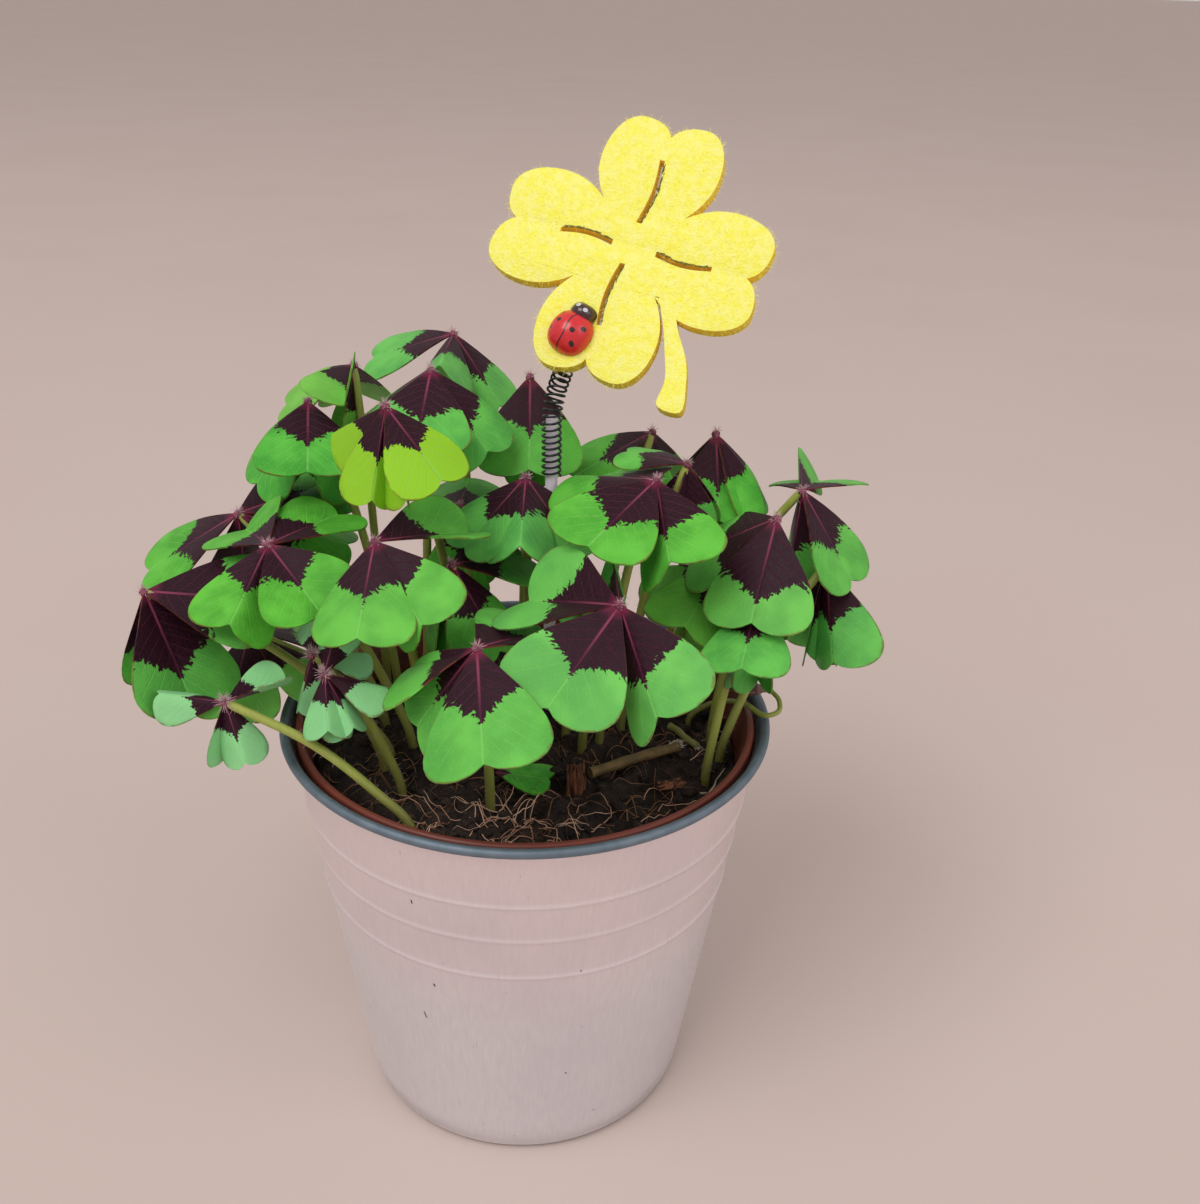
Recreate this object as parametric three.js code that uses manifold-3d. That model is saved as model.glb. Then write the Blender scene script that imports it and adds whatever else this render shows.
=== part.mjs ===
// Potted iron cross oxalis in a tin sleeve, with a felt clover on a spring pick.
// Millimetres, +Z up. The origin is the middle of the sleeve's underside; +Y points away
// from the side that is looked at.
import * as THREE from "three";
import { mergeVertices } from "three/addons/utils/BufferGeometryUtils.js";
import Module from "manifold-3d";

const wasm = await Module();
wasm.setup();

// Driving dimensions of the two pots
const SLEEVE_HEIGHT = 98.9;
const SLEEVE_RIM_RADIUS = 56;
const SLEEVE_WALL_TOP_RADIUS = 53.8;
const SLEEVE_BASE_RADIUS = 39.4;
const SLEEVE_CORNER = 2.4;
const SLEEVE_WALL = 0.8;
const SLEEVE_RING_HEIGHTS = [60.5, 71.5, 81.5];
const SLEEVE_RING_PROUD = 0.35;
const LINER_LIP_RADIUS = 52.5;
const LINER_LIP_WIDTH = 1.7;
const LINER_LIP_DEPTH = 5;
const LINER_TOP = 97.9;
const LINER_BASE_RADIUS = 36.2;
const LINER_WALL = 1;
const LINER_HOLES = 6;
const LINER_HOLE_RADIUS = 3;
const LINER_HOLE_CIRCLE = 25;
const SEAT_GAP = 0.3;

// Soil
const SOIL_LEVEL = 89.5;
const SOIL_LUMP = 1.1;
const SOIL_RINGS = 6;
const SOIL_SIDES = 28;

// Leaves
const BLADE = 0.62;
const PETIOLE_RADIUS = 1.05;
const HUB_CAP = 1.2;
const BLADE_START = 0.3;
const SLIVER = 0.05;
const ROOT_DEPTH = 9;
const YOUNG_LEAVES = 3;
const POT_SIDES = 36;

// Pick
const ROD_RADIUS = 1.45;
const ROD_PLACE = [4.3, 15];
const ROD_TOP = 163.8;
const ROD_FOOT = 40;
const WIRE_RADIUS = 0.28;
const COIL_RADIUS = 2.05;
const COIL_PITCH = 1.45;
const FELT_THICKNESS = 3;
const FELT_CENTRE = [20, 30, 198];
const FELT_FACING = { turn: 13, lift: 37 };
const FELT_SPIN = -11;

const degrees = THREE.MathUtils.degToRad;

const looks = {
  tin: new THREE.MeshStandardMaterial({ color: 0xc9b8b0, roughness: 0.32, metalness: 0.9 }),
  liner: new THREE.MeshStandardMaterial({ color: 0x5d342c, roughness: 0.6, metalness: 0 }),
  soil: new THREE.MeshStandardMaterial({ color: 0x33241c, roughness: 1, metalness: 0 }),
  leaf: new THREE.MeshStandardMaterial({ color: 0x55b848, roughness: 0.55, metalness: 0 }),
  withered: new THREE.MeshStandardMaterial({ color: 0x5f4a4c, roughness: 0.8, metalness: 0 }),
  bark: new THREE.MeshStandardMaterial({ color: 0x6b4632, roughness: 0.95, metalness: 0 }),
  rod: new THREE.MeshStandardMaterial({ color: 0xe9e6ea, roughness: 0.45, metalness: 0 }),
  wire: new THREE.MeshStandardMaterial({ color: 0x14161a, roughness: 0.35, metalness: 0.8 }),
  felt: new THREE.MeshStandardMaterial({ color: 0xf6e51c, roughness: 1, metalness: 0 }),
  ladybird: new THREE.MeshStandardMaterial({ color: 0xc81f26, roughness: 0.3, metalness: 0 }),
};

// Solids and meshes

function solidOf(geometry) {
  geometry.deleteAttribute("normal");
  geometry.deleteAttribute("uv");
  const merged = mergeVertices(geometry, 1e-4);
  return new wasm.Manifold(new wasm.Mesh({
    numProp: 3,
    vertProperties: new Float32Array(merged.attributes.position.array),
    triVerts: new Uint32Array(merged.index.array),
  }));
}

function geometryOf(solid) {
  const { vertProperties, triVerts } = solid.getMesh();
  const geometry = new THREE.BufferGeometry();
  geometry.setAttribute("position", new THREE.BufferAttribute(new Float32Array(vertProperties), 3));
  geometry.setIndex(new THREE.BufferAttribute(new Uint32Array(triVerts), 1));
  return geometry;
}

function joined(solids) {
  return solids.reduce((whole, solid) => whole.add(solid));
}

function named(name, geometry, look) {
  const mesh = new THREE.Mesh(geometry, look);
  mesh.name = name;
  return mesh;
}

// A lathe about +Z from [radius, height] points that start and end on the axis.
function turned(profile, sides) {
  const points = profile.map(([radius, height]) => new THREE.Vector2(radius, height));
  return new THREE.LatheGeometry(points, sides).rotateX(Math.PI / 2);
}

function ngon(radius, sides) {
  const shape = new THREE.Shape();
  for (let i = 0; i < sides; i += 1) {
    const angle = (2 * Math.PI * i) / sides;
    const point = [radius * Math.cos(angle), radius * Math.sin(angle)];
    if (i === 0) shape.moveTo(...point);
    else shape.lineTo(...point);
  }
  return shape;
}

function tube(points, radius, sides, steps) {
  const path = new THREE.CatmullRomCurve3(points.map((p) => new THREE.Vector3(...p)));
  return new THREE.ExtrudeGeometry(ngon(radius, sides), { extrudePath: path, steps });
}

// Tin sleeve: flat base, rounded corner, straight taper with three raised rings, rolled rim

function sleeveRadius(height) {
  const share = height / SLEEVE_HEIGHT;
  return SLEEVE_BASE_RADIUS + (SLEEVE_WALL_TOP_RADIUS - SLEEVE_BASE_RADIUS) * share;
}

function sleeveGeometry() {
  const outside = [[0, 0], [SLEEVE_BASE_RADIUS - SLEEVE_CORNER, 0]];
  outside.push([SLEEVE_BASE_RADIUS - 0.3 * SLEEVE_CORNER, 0.3 * SLEEVE_CORNER]);
  outside.push([sleeveRadius(SLEEVE_CORNER), SLEEVE_CORNER]);
  for (const height of SLEEVE_RING_HEIGHTS) {
    outside.push([sleeveRadius(height - 1), height - 1]);
    outside.push([sleeveRadius(height) + SLEEVE_RING_PROUD, height]);
    outside.push([sleeveRadius(height + 1), height + 1]);
  }
  const neck = SLEEVE_HEIGHT - 3;
  outside.push([sleeveRadius(neck), neck]);
  const bead = [
    [SLEEVE_RIM_RADIUS - 0.4, SLEEVE_HEIGHT - 1.5],
    [SLEEVE_RIM_RADIUS, SLEEVE_HEIGHT - 0.8],
    [SLEEVE_RIM_RADIUS - 0.5, SLEEVE_HEIGHT - 0.1],
    [SLEEVE_RIM_RADIUS - 1.1, SLEEVE_HEIGHT],
    [SLEEVE_RIM_RADIUS - 1.6, SLEEVE_HEIGHT - 0.6],
  ];
  const inside = [
    [sleeveRadius(neck) - SLEEVE_WALL + 0.2, neck - 0.6],
    [SLEEVE_BASE_RADIUS - SLEEVE_WALL, SLEEVE_CORNER],
    [SLEEVE_BASE_RADIUS - SLEEVE_CORNER, SLEEVE_WALL],
    [0, SLEEVE_WALL],
  ];
  return turned([...outside, ...bead, ...inside], POT_SIDES);
}

// Nursery pot that holds the soil: thin tapered wall, thicker lip, holes in its floor

const LINER_FLOOR = SLEEVE_WALL + SEAT_GAP;

function linerRadius(height) {
  const top = LINER_LIP_RADIUS - 1.2;
  const share = (height - LINER_FLOOR) / (LINER_TOP - LINER_FLOOR);
  return LINER_BASE_RADIUS + (top - LINER_BASE_RADIUS) * share;
}

function linerGeometry() {
  const underLip = LINER_TOP - LINER_LIP_DEPTH;
  const profile = [
    [0, LINER_FLOOR],
    [LINER_BASE_RADIUS, LINER_FLOOR],
    [linerRadius(underLip), underLip],
    [LINER_LIP_RADIUS - 0.25, underLip + 0.3],
    [LINER_LIP_RADIUS, LINER_TOP - 0.4],
    [LINER_LIP_RADIUS - 0.4, LINER_TOP],
    [LINER_LIP_RADIUS - LINER_LIP_WIDTH, LINER_TOP],
    [LINER_LIP_RADIUS - LINER_LIP_WIDTH - 0.5, LINER_TOP - 0.8],
    [linerRadius(underLip) - LINER_WALL, underLip - 1],
    [LINER_BASE_RADIUS - LINER_WALL, LINER_FLOOR + LINER_WALL],
    [0, LINER_FLOOR + LINER_WALL],
  ];
  let pot = solidOf(turned(profile, POT_SIDES));
  for (let i = 0; i < LINER_HOLES; i += 1) {
    const angle = (2 * Math.PI * (i + 0.5)) / LINER_HOLES;
    const hole = new THREE.CylinderGeometry(LINER_HOLE_RADIUS, LINER_HOLE_RADIUS, 4, 10)
      .rotateX(Math.PI / 2)
      .translate(LINER_HOLE_CIRCLE * Math.cos(angle), LINER_HOLE_CIRCLE * Math.sin(angle), LINER_FLOOR + 0.5);
    pot = pot.subtract(solidOf(hole));
  }
  return geometryOf(pot);
}

// Soil: a plug in the nursery pot with a lumpy top, and a plain hole for each thing that stands in it

function soilTop(x, y) {
  const lumps = Math.sin(0.35 * x + 1) * Math.cos(0.31 * y) + 0.6 * Math.sin(0.83 * x - 0.5 * y);
  const settled = -1.2 * Math.pow(Math.hypot(x, y) / 48, 4);
  return SOIL_LEVEL + SOIL_LUMP * lumps + settled;
}

function soilGeometry(holes) {
  const floor = LINER_FLOOR + LINER_WALL + SEAT_GAP;
  const radiusAt = (height) => linerRadius(height) - LINER_WALL - SEAT_GAP - 0.15;
  const topRadius = radiusAt(SOIL_LEVEL - 3);
  const positions = [0, 0, soilTop(0, 0)];
  const faces = [];
  const at = (ring, side) => 1 + (ring - 1) * SOIL_SIDES + (side % SOIL_SIDES);
  for (let ring = 1; ring <= SOIL_RINGS; ring += 1) {
    const radius = (topRadius * ring) / SOIL_RINGS;
    for (let side = 0; side < SOIL_SIDES; side += 1) {
      const angle = (2 * Math.PI * side) / SOIL_SIDES;
      const x = radius * Math.cos(angle);
      const y = radius * Math.sin(angle);
      positions.push(x, y, soilTop(x, y));
    }
  }
  const foot = positions.length / 3;
  for (let side = 0; side < SOIL_SIDES; side += 1) {
    const angle = (2 * Math.PI * side) / SOIL_SIDES;
    positions.push(radiusAt(floor) * Math.cos(angle), radiusAt(floor) * Math.sin(angle), floor);
  }
  const centre = positions.length / 3;
  positions.push(0, 0, floor);
  for (let side = 0; side < SOIL_SIDES; side += 1) {
    const next = (side + 1) % SOIL_SIDES;
    faces.push(0, at(1, side), at(1, side + 1));
    for (let ring = 1; ring < SOIL_RINGS; ring += 1) {
      faces.push(at(ring, side), at(ring + 1, side), at(ring + 1, side + 1));
      faces.push(at(ring, side), at(ring + 1, side + 1), at(ring, side + 1));
    }
    faces.push(at(SOIL_RINGS, side), foot + side, foot + next);
    faces.push(at(SOIL_RINGS, side), foot + next, at(SOIL_RINGS, side + 1));
    faces.push(centre, foot + next, foot + side);
  }
  const plug = new THREE.BufferGeometry();
  plug.setAttribute("position", new THREE.Float32BufferAttribute(positions, 3));
  plug.setIndex(faces);
  let soil = solidOf(plug);
  for (const { place: [x, y], radius, depth } of holes) {
    const hole = new THREE.CylinderGeometry(radius, radius, depth + 8, 6)
      .rotateX(Math.PI / 2)
      .translate(x, y, soilTop(x, y) + 4 - depth / 2);
    soil = soil.subtract(solidOf(hole));
  }
  return geometryOf(soil);
}

// Leaves. The last three are young ones, and the first two of those grow as one tuft.
// Each has its hub, its foot in the soil, its leaflet length, and four leaflets as
// [bearing, slope, roll, fold]: degrees counter-clockwise from +X, degrees above level,
// degrees that its left side is lifted, and degrees that each half hangs below the midrib.

const LEAVES = [
  { hub: [-80, -14, 132], foot: [-31, -8], size: 28,
    blades: [[4, -4, 21, 0], [80, -60, 0, 50], [250, -78, 0, 45], [316, -52, -16, -8]] },
  { hub: [-67.6, 16, 138], foot: [-35, 9], size: 27.5,
    blades: [[2, -15, 3, 15], [48, 3, 10, 2], [186, -32, -12, 5], [300, -82, 0, 50]] },
  { hub: [-54, -10, 142], foot: [-26, -6], size: 22,
    blades: [[56, 2, 4, -8], [120, -10, -26, -16], [257, -28, -30, 32], [314, -24, 18, -12]] },
  { hub: [-43, 36, 168], foot: [-37, 26], size: 22,
    blades: [[20, -80, 0, 50], [98, -34, 0, 25], [171, -31, -18, 5], [273, -8, 28, -48]] },
  { hub: [-51.6, 24.5, 162.5], foot: [-33, 19], size: 24,
    blades: [[10, -58, 0, 50], [115, -62, 0, 45], [205, -52, -10, 8], [280, -24, -2, 0]] },
  { hub: [-28, -10, 173], foot: [-16, 18], size: 20.5,
    blades: [[326, -40, 12, 12], [298, -52, 0, 76], [142, -28, 0, 78], [256, -64, -28, 50]] },
  { hub: [-22.8, 20, 172], foot: [-26, 21], size: 23.5,
    blades: [[330, -46, 30, 28], [85, -78, 0, 50], [146, -32, -14, 5], [267, -28, -4, 5]] },
  { hub: [-22, 56, 171], foot: [-15, 34], size: 23.5,
    blades: [[320, -40, 0, 16], [80, -45, 0, 25], [172, -18, -14, 5], [268, -4, 0, 50]] },
  { hub: [-2, 38, 166], foot: [-3, 27], size: 25.5,
    blades: [[0, -80, 0, 45], [90, -50, 0, 25], [185, -80, 0, 45], [273, -45, 0, 5]] },
  { hub: [27.5, 42, 152], foot: [16, 28], size: 24.8,
    blades: [[10, -80, 0, 50], [95, -40, 0, 20], [175, -32, -18, 5], [275, -80, 0, 50]] },
  { hub: [34.3, 10, 155.6], foot: [22, 6], size: 16,
    blades: [[345, -80, 0, 32], [70, -70, 0, 10], [152, 1, 0, 10], [255, -78, 0, 10]] },
  { hub: [27.2, -1, 155.7], foot: [17, -1], size: 25.2,
    blades: [[276, -22, 40, 30], [113, -14, -12, 10], [141, -10, 0, 28], [231, -20, -10, -4]] },
  { hub: [42, 31, 155.7], foot: [33, 28], size: 23,
    blades: [[335, -54, -5, 5], [80, -50, 0, 25], [180, -82, 0, 50], [273, -48, 0, 8]] },
  { hub: [61, 16, 148], foot: [38, 21], size: 25,
    blades: [[70, -12, -9, 3], [86, 7, -20, 76], [225, -85, 0, 50], [328, -52, 0, 0]] },
  { hub: [53, -4, 149], foot: [43, 2], size: 25.5,
    blades: [[40, -74, 30, 10], [20, -86, 0, 10], [144, -33, -27, 12], [250, -44, 6, 10]] },
  { hub: [67.3, 10, 132.7], foot: [45, -5], size: 24,
    blades: [[40, -75, 0, 45], [115, -80, 0, 50], [200, -82, 0, 50], [276, -58, 50, 36]] },
  { hub: [44, 8, 133], foot: [30, 8], size: 23,
    blades: [[330, -80, 0, 50], [90, -82, 0, 20], [138, -20, 0, 35], [243, -18, -20, 18]] },
  { hub: [49.5, -10, 132.7], foot: [41, -14], size: 20.1,
    blades: [[330, -82, 0, 10], [20, -84, 0, 5], [140, -82, 0, 10], [256, -24, 5, 10]] },
  { hub: [20, -34, 142], foot: [13, -4], size: 27,
    blades: [[288, -29, 60, 26], [94, 2, 0, 74], [141, -15, -26, -20], [233, -30, -13, -5]] },
  { hub: [8.9, 7, 138.7], foot: [9, 3], size: 20,
    blades: [[15, -80, 0, 8], [150, -82, 0, 10], [250, -75, 0, 35], [330, -70, 0, 10]] },
  { hub: [-7, -42, 136], foot: [-6, -29], size: 26.5,
    blades: [[60, -14, 0, -10], [135, -30, 10, 40], [163, -56, -50, 8], [278, -29, 22, 12]] },
  { hub: [-30, -18, 147], foot: [-23, -3], size: 23.5,
    blades: [[36, -6, 5, -22], [85, -40, 0, 40], [266, -36, 9, 13], [306, -30, 56, 30]] },
  { hub: [-64, 4, 114], foot: [-34, 3], size: 22,
    blades: [[350, -20, 0, 30], [60, -20, 0, 20], [150, -60, 0, 20], [265, -35, 0, 20]] },
  { hub: [-17.2, 20, 139.8], foot: [-12, 14], size: 22,
    blades: [[318, -80, 0, 50], [90, 0, 0, 20], [175, -86, 0, 55], [285, -84, 0, 55]] },
  { hub: [-1, 8, 152], foot: [-1, 20], size: 22,
    blades: [[332, -47, -2, 0], [115, -50, 0, 0], [215, -39, 0, 0], [270, -22, 0, 42]] },
  { hub: [-16, -6, 137], foot: [-12, -6], size: 23,
    blades: [[325, -50, 0, 15], [47, -11, 15, 5], [165, -78, 0, 15], [262, -75, 0, 50]] },
  { hub: [-39.8, -28, 121.3], foot: [-26, -23], size: 14,
    blades: [[82, 40, 0, 45], [0, -10, 0, 45], [283, -30, 0, 42], [312, -35, 0, 45]] },
  { hub: [-43.5, -22, 122.6], foot: [-31, -15], size: 13,
    blades: [[95, 18, 0, 45], [30, -10, 0, 45], [145, -70, 0, 40], [245, -60, 0, 55]] },
  { hub: [-58.9, -34, 117.5], foot: [-22, -37], size: 14,
    blades: [[182, 8, -25, 50], [38, 2, -5, -38], [310, -60, 30, 45], [110, -80, 0, 45]] },
];

// Half of a leaflet's outline for a length of 1: the midrib end first, round its lobe, to the
// bottom of the notch. The base is at the hub.
const LOBE = [[0.55, 0.43], [0.77, 0.49], [0.95, 0.4], [1, 0.2]];
const NOTCH = 0.93;
const MIDRIB_STEP = 0.5;

// One leaflet along +X, its two halves hinged down from a straight midrib. Its point starts just
// off the middle of the hub, so that the leaflets of a leaf do not run through each other there.
function leafletGeometry(size, fold) {
  const outline = [[BLADE_START / size, 0], ...LOBE, [NOTCH, 0], [MIDRIB_STEP, 0]];
  const fan = [[0, 1, 6], [1, 2, 6], [2, 5, 6], [2, 3, 5], [3, 4, 5]];
  const drop = Math.sin(degrees(fold));
  const reach = Math.cos(degrees(fold));
  const thick = BLADE / reach;
  const positions = [];
  const faces = [];
  for (const side of [1, -1]) {
    for (const level of [0, -thick]) {
      const first = positions.length / 3;
      for (const [along, across] of outline) {
        positions.push(size * along, side * size * across * reach, level - size * across * drop);
      }
      const up = (side === 1) === (level !== 0);
      for (const [a, b, c] of fan) {
        if (up) faces.push(first + a, first + b, first + c);
        else faces.push(first + a, first + c, first + b);
      }
    }
    const top = positions.length / 3 - 2 * outline.length;
    const under = top + outline.length;
    for (let i = 0; i < LOBE.length + 1; i += 1) {
      const [a, b] = side === 1 ? [i, i + 1] : [i + 1, i];
      faces.push(top + a, top + b, under + b, top + a, under + b, under + a);
    }
  }
  const geometry = new THREE.BufferGeometry();
  geometry.setAttribute("position", new THREE.Float32BufferAttribute(positions, 3));
  geometry.setIndex(faces);
  return geometry;
}

// The turn and tilt of a leaflet: X along its midrib, Y to its left, Z out of its face.
function bladeMatrix([bearing, slope, roll], hub) {
  return new THREE.Matrix4()
    .makeTranslation(...hub)
    .multiply(new THREE.Matrix4().makeRotationZ(degrees(bearing)))
    .multiply(new THREE.Matrix4().makeRotationY(-degrees(slope)))
    .multiply(new THREE.Matrix4().makeRotationX(degrees(roll)));
}

// The leaf stalk: straight up out of the soil, then bending out and a little past the hub.
function petiolePoints({ hub, foot }) {
  const [fx, fy] = foot;
  const soil = soilTop(fx, fy);
  const rise = hub[2] - soil;
  const lean = (share, lift) => [
    fx + (hub[0] - fx) * share,
    fy + (hub[1] - fy) * share,
    soil + rise * lift,
  ];
  const bend = lean(0.52, 0.7);
  const length = Math.hypot(hub[0] - bend[0], hub[1] - bend[1], hub[2] - bend[2]);
  const tip = hub.map((value, i) => value + ((value - bend[i]) * HUB_CAP) / length);
  return [[fx, fy, soil - ROOT_DEPTH], [fx, fy, soil + 2], lean(0.18, 0.33), bend, tip];
}

function leafSolid(leaf) {
  const parts = leaf.blades.map((blade) => {
    const geometry = leafletGeometry(leaf.size, blade[3]);
    return solidOf(geometry.applyMatrix4(bladeMatrix(blade, leaf.hub)));
  });
  parts.push(solidOf(tube(petiolePoints(leaf), PETIOLE_RADIUS, 4, 6)));
  return joined(parts).simplify(SLIVER);
}

// Small things on the soil: cut stalks and chips of bark that lie on it, a stub that stands in it

const CUT_STEM = { from: [15.1, -16.2], to: [35.1, -3.6], radius: 1.3 };
const CUT_PETIOLE = { from: [33.5, 5.2], to: [39.5, -3], radius: 0.9 };
const BARK_STUB = { place: [12, -19.5], radius: 2.3, height: 7, sunk: 3 };
const BARK_CHIP = { place: [32.9, -19], size: [7, 3.2, 1.2], turn: 25 };
const FALLEN_LEAFLET = { place: [-6, -17], size: 13, turn: -10 };
const CHIP_LIFT = 0.65;

// The highest soil under a straight line from one place to another, by its formula; the facets of
// the soil lie some tenths of a millimetre lower, which leaves the gap under a thing laid on it.
function highestSoil(from, to) {
  const heights = [0, 0.25, 0.5, 0.75, 1].map((share) => soilTop(
    from[0] + (to[0] - from[0]) * share,
    from[1] + (to[1] - from[1]) * share,
  ));
  return Math.max(...heights);
}

function lyingGeometry({ from, to, radius }) {
  const height = highestSoil(from, to) + radius;
  return tube([[...from, height], [...to, height]], radius, 6, 1);
}

function stubGeometry() {
  const { place, radius, height, sunk } = BARK_STUB;
  return new THREE.CylinderGeometry(0.7 * radius, radius, height + sunk, 7)
    .rotateX(Math.PI / 2)
    .translate(...place, soilTop(...place) + (height - sunk) / 2);
}

function chipGeometry() {
  const { place, size, turn } = BARK_CHIP;
  return new THREE.BoxGeometry(...size)
    .rotateZ(degrees(turn))
    .translate(...place, highestSoil([place[0] - 3, place[1]], [place[0] + 3, place[1]]) + CHIP_LIFT);
}

function fallenGeometry() {
  const { place, size, turn } = FALLEN_LEAFLET;
  const height = soilTop(...place) + 2.7;
  return leafletGeometry(size, 4).applyMatrix4(bladeMatrix([turn, 2, 0], [...place, height]));
}

// A withered leaf: its thin stalk curls out over the lip and back, two shrunken leaflets at its end
const WITHERED_STALK = [[38.6, 9.4, 84], [38.6, 9.4, 91.5], [44, 8, 96.5], [50, 1.5, 100.3],
  [54.4, -5.4, 101.3], [57.4, -4.6, 102], [57.8, -1, 103], [56.4, 1.8, 103.6]];
const WITHERED_RADIUS = 0.75;
const WITHERED_BLADES = [[176, 26, 20, 55], [140, 8, 0, 60]];
const WITHERED_SIZE = 8;

function witheredGeometry() {
  const end = WITHERED_STALK[WITHERED_STALK.length - 1];
  const parts = [solidOf(tube(WITHERED_STALK, WITHERED_RADIUS, 4, 10))];
  parts.push(solidOf(new THREE.OctahedronGeometry(1.2).translate(...end)));
  for (const blade of WITHERED_BLADES) {
    parts.push(solidOf(leafletGeometry(WITHERED_SIZE, blade[3]).applyMatrix4(bladeMatrix(blade, end))));
  }
  return geometryOf(joined(parts));
}

// Pick: a rod in the soil, a coil spring that grips its top, a felt clover and a ladybird on it

function rodGeometry() {
  return new THREE.CylinderGeometry(ROD_RADIUS, ROD_RADIUS, ROD_TOP - ROD_FOOT, 10)
    .rotateX(Math.PI / 2)
    .translate(...ROD_PLACE, (ROD_TOP + ROD_FOOT) / 2);
}

const SPRING_LINE = new THREE.CatmullRomCurve3([
  new THREE.Vector3(4.3, 15, 149.9),
  new THREE.Vector3(4.3, 15, 157),
  new THREE.Vector3(4.3, 15, 164.4),
  new THREE.Vector3(5.1, 16.4, 169),
  new THREE.Vector3(6.6, 21, 173),
  new THREE.Vector3(8.2, 26.6, 178.6),
]);

class CoilCurve extends THREE.Curve {
  getPoint(t) {
    const centre = SPRING_LINE.getPointAt(t);
    const along = SPRING_LINE.getTangentAt(t);
    const side = new THREE.Vector3(1, 0, 0).addScaledVector(along, -along.x).normalize();
    const back = new THREE.Vector3().crossVectors(along, side);
    const angle = (2 * Math.PI * SPRING_LINE.getLength() * t) / COIL_PITCH;
    centre.addScaledVector(side, COIL_RADIUS * Math.cos(angle));
    return centre.addScaledVector(back, COIL_RADIUS * Math.sin(angle));
  }
}

function springGeometry() {
  const turns = SPRING_LINE.getLength() / COIL_PITCH;
  return new THREE.ExtrudeGeometry(ngon(WIRE_RADIUS, 3), {
    extrudePath: new CoilCurve(),
    steps: Math.round(turns * 6),
  });
}

// One heart of the clover along +Y: half of it as [control, control, end] curves from the
// inner corner to the notch, then the same curves mirrored back.
const HEART_CORNER = [9.6, 9.6];
const HEART_HALF = [
  [[12.8, 13.5], [13.8, 17], [13.8, 20.5]],
  [[13.8, 26.5], [11, 30.8], [7.2, 30.8]],
  [[4, 30.8], [1.2, 29.8], [0, 27.2]],
];

// The clover's outline: four hearts round the middle and a curved stem between two of them.
function cloverShape() {
  const points = [];
  for (let heart = 0; heart < 4; heart += 1) {
    const turn = -heart * (Math.PI / 2);
    const half = new THREE.CurvePath();
    let from = HEART_CORNER;
    for (const [first, second, end] of HEART_HALF) {
      half.add(new THREE.CubicBezierCurve(...[from, first, second, end].map((p) => new THREE.Vector2(...p))));
      from = end;
    }
    const right = half.curves.flatMap((curve) => curve.getPoints(3).slice(0, -1));
    right.push(new THREE.Vector2(...from));
    const left = right.map((p) => new THREE.Vector2(-p.x, p.y)).slice(0, -1);
    const whole = [...left, ...right.reverse()].slice(0, -1);
    points.push(...whole.map((p) => p.rotateAround(new THREE.Vector2(), turn)));
  }
  return new THREE.Shape(points);
}

const FELT_STEM = [[7.5, -8], [10.5, -18], [11.7, -23.5], [12.7, -30], [11.8, -35.5],
  [17.1, -36.6], [17.4, -30], [16.6, -25], [13.9, -18.5], [10, -8]];
const FELT_SLITS = [[6, 21.5], [6.3, 19.2], [4, 19], [4, 16.3]];
const SLIT_WIDTH = 1;
const SLIT_BOW = 0.9;

function slitShape([from, to]) {
  const half = SLIT_WIDTH / 2;
  const middle = (from + to) / 2;
  return new THREE.Shape([
    new THREE.Vector2(-half, from),
    new THREE.Vector2(half, from),
    new THREE.Vector2(half + SLIT_BOW, middle),
    new THREE.Vector2(half, to),
    new THREE.Vector2(-half, to),
    new THREE.Vector2(-half + SLIT_BOW, middle),
  ]);
}

function feltGeometry() {
  const slab = (shape, depth) => new THREE.ExtrudeGeometry(shape, { depth, bevelEnabled: false });
  const stem = new THREE.Shape(FELT_STEM.map((p) => new THREE.Vector2(...p)));
  let felt = solidOf(slab(cloverShape(), FELT_THICKNESS));
  felt = felt.add(solidOf(slab(stem, FELT_THICKNESS).rotateZ(degrees(-FELT_SPIN))));
  FELT_SLITS.forEach((reach, i) => {
    const slit = slab(slitShape(reach), FELT_THICKNESS + 2);
    felt = felt.subtract(solidOf(slit.translate(0, 0, -1).rotateZ(-i * (Math.PI / 2))));
  });
  return geometryOf(felt);
}

const LADYBIRD = { place: [-9.4, -21.3], length: 12, width: 9.6, height: 4.6, turn: -25 };

function ladybirdGeometry() {
  const { length, width, height } = LADYBIRD;
  const body = new THREE.SphereGeometry(0.5, 12, 8)
    .rotateX(Math.PI / 2)
    .scale(width, length * 0.82, 2 * height);
  const head = new THREE.SphereGeometry(0.5, 10, 6)
    .rotateX(Math.PI / 2)
    .scale(width * 0.62, length * 0.42, 1.5 * height)
    .translate(0, length * 0.4, 0);
  const below = new THREE.BoxGeometry(40, 40, 20).translate(0, 0, -10);
  return geometryOf(solidOf(body).add(solidOf(head)).subtract(solidOf(below)));
}

// The felt and the ladybird share a frame: its face looks up and to the left of +Y's viewer.
function feltFrame() {
  const frame = new THREE.Group();
  const turn = degrees(FELT_FACING.turn);
  const lift = degrees(FELT_FACING.lift);
  const level = Math.cos(lift);
  const face = new THREE.Vector3(-Math.sin(turn) * level, -Math.cos(turn) * level, Math.sin(lift));
  const right = new THREE.Vector3(Math.cos(turn), -Math.sin(turn), 0);
  const up = new THREE.Vector3().crossVectors(face, right);
  frame.setRotationFromMatrix(new THREE.Matrix4().makeBasis(right, up, face));
  frame.position.set(...FELT_CENTRE);
  return frame;
}

// The whole plant in its pots

const plant = new THREE.Group();
plant.add(named("tin_sleeve", sleeveGeometry(), looks.tin));
plant.add(named("nursery_pot", linerGeometry(), looks.liner));

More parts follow.
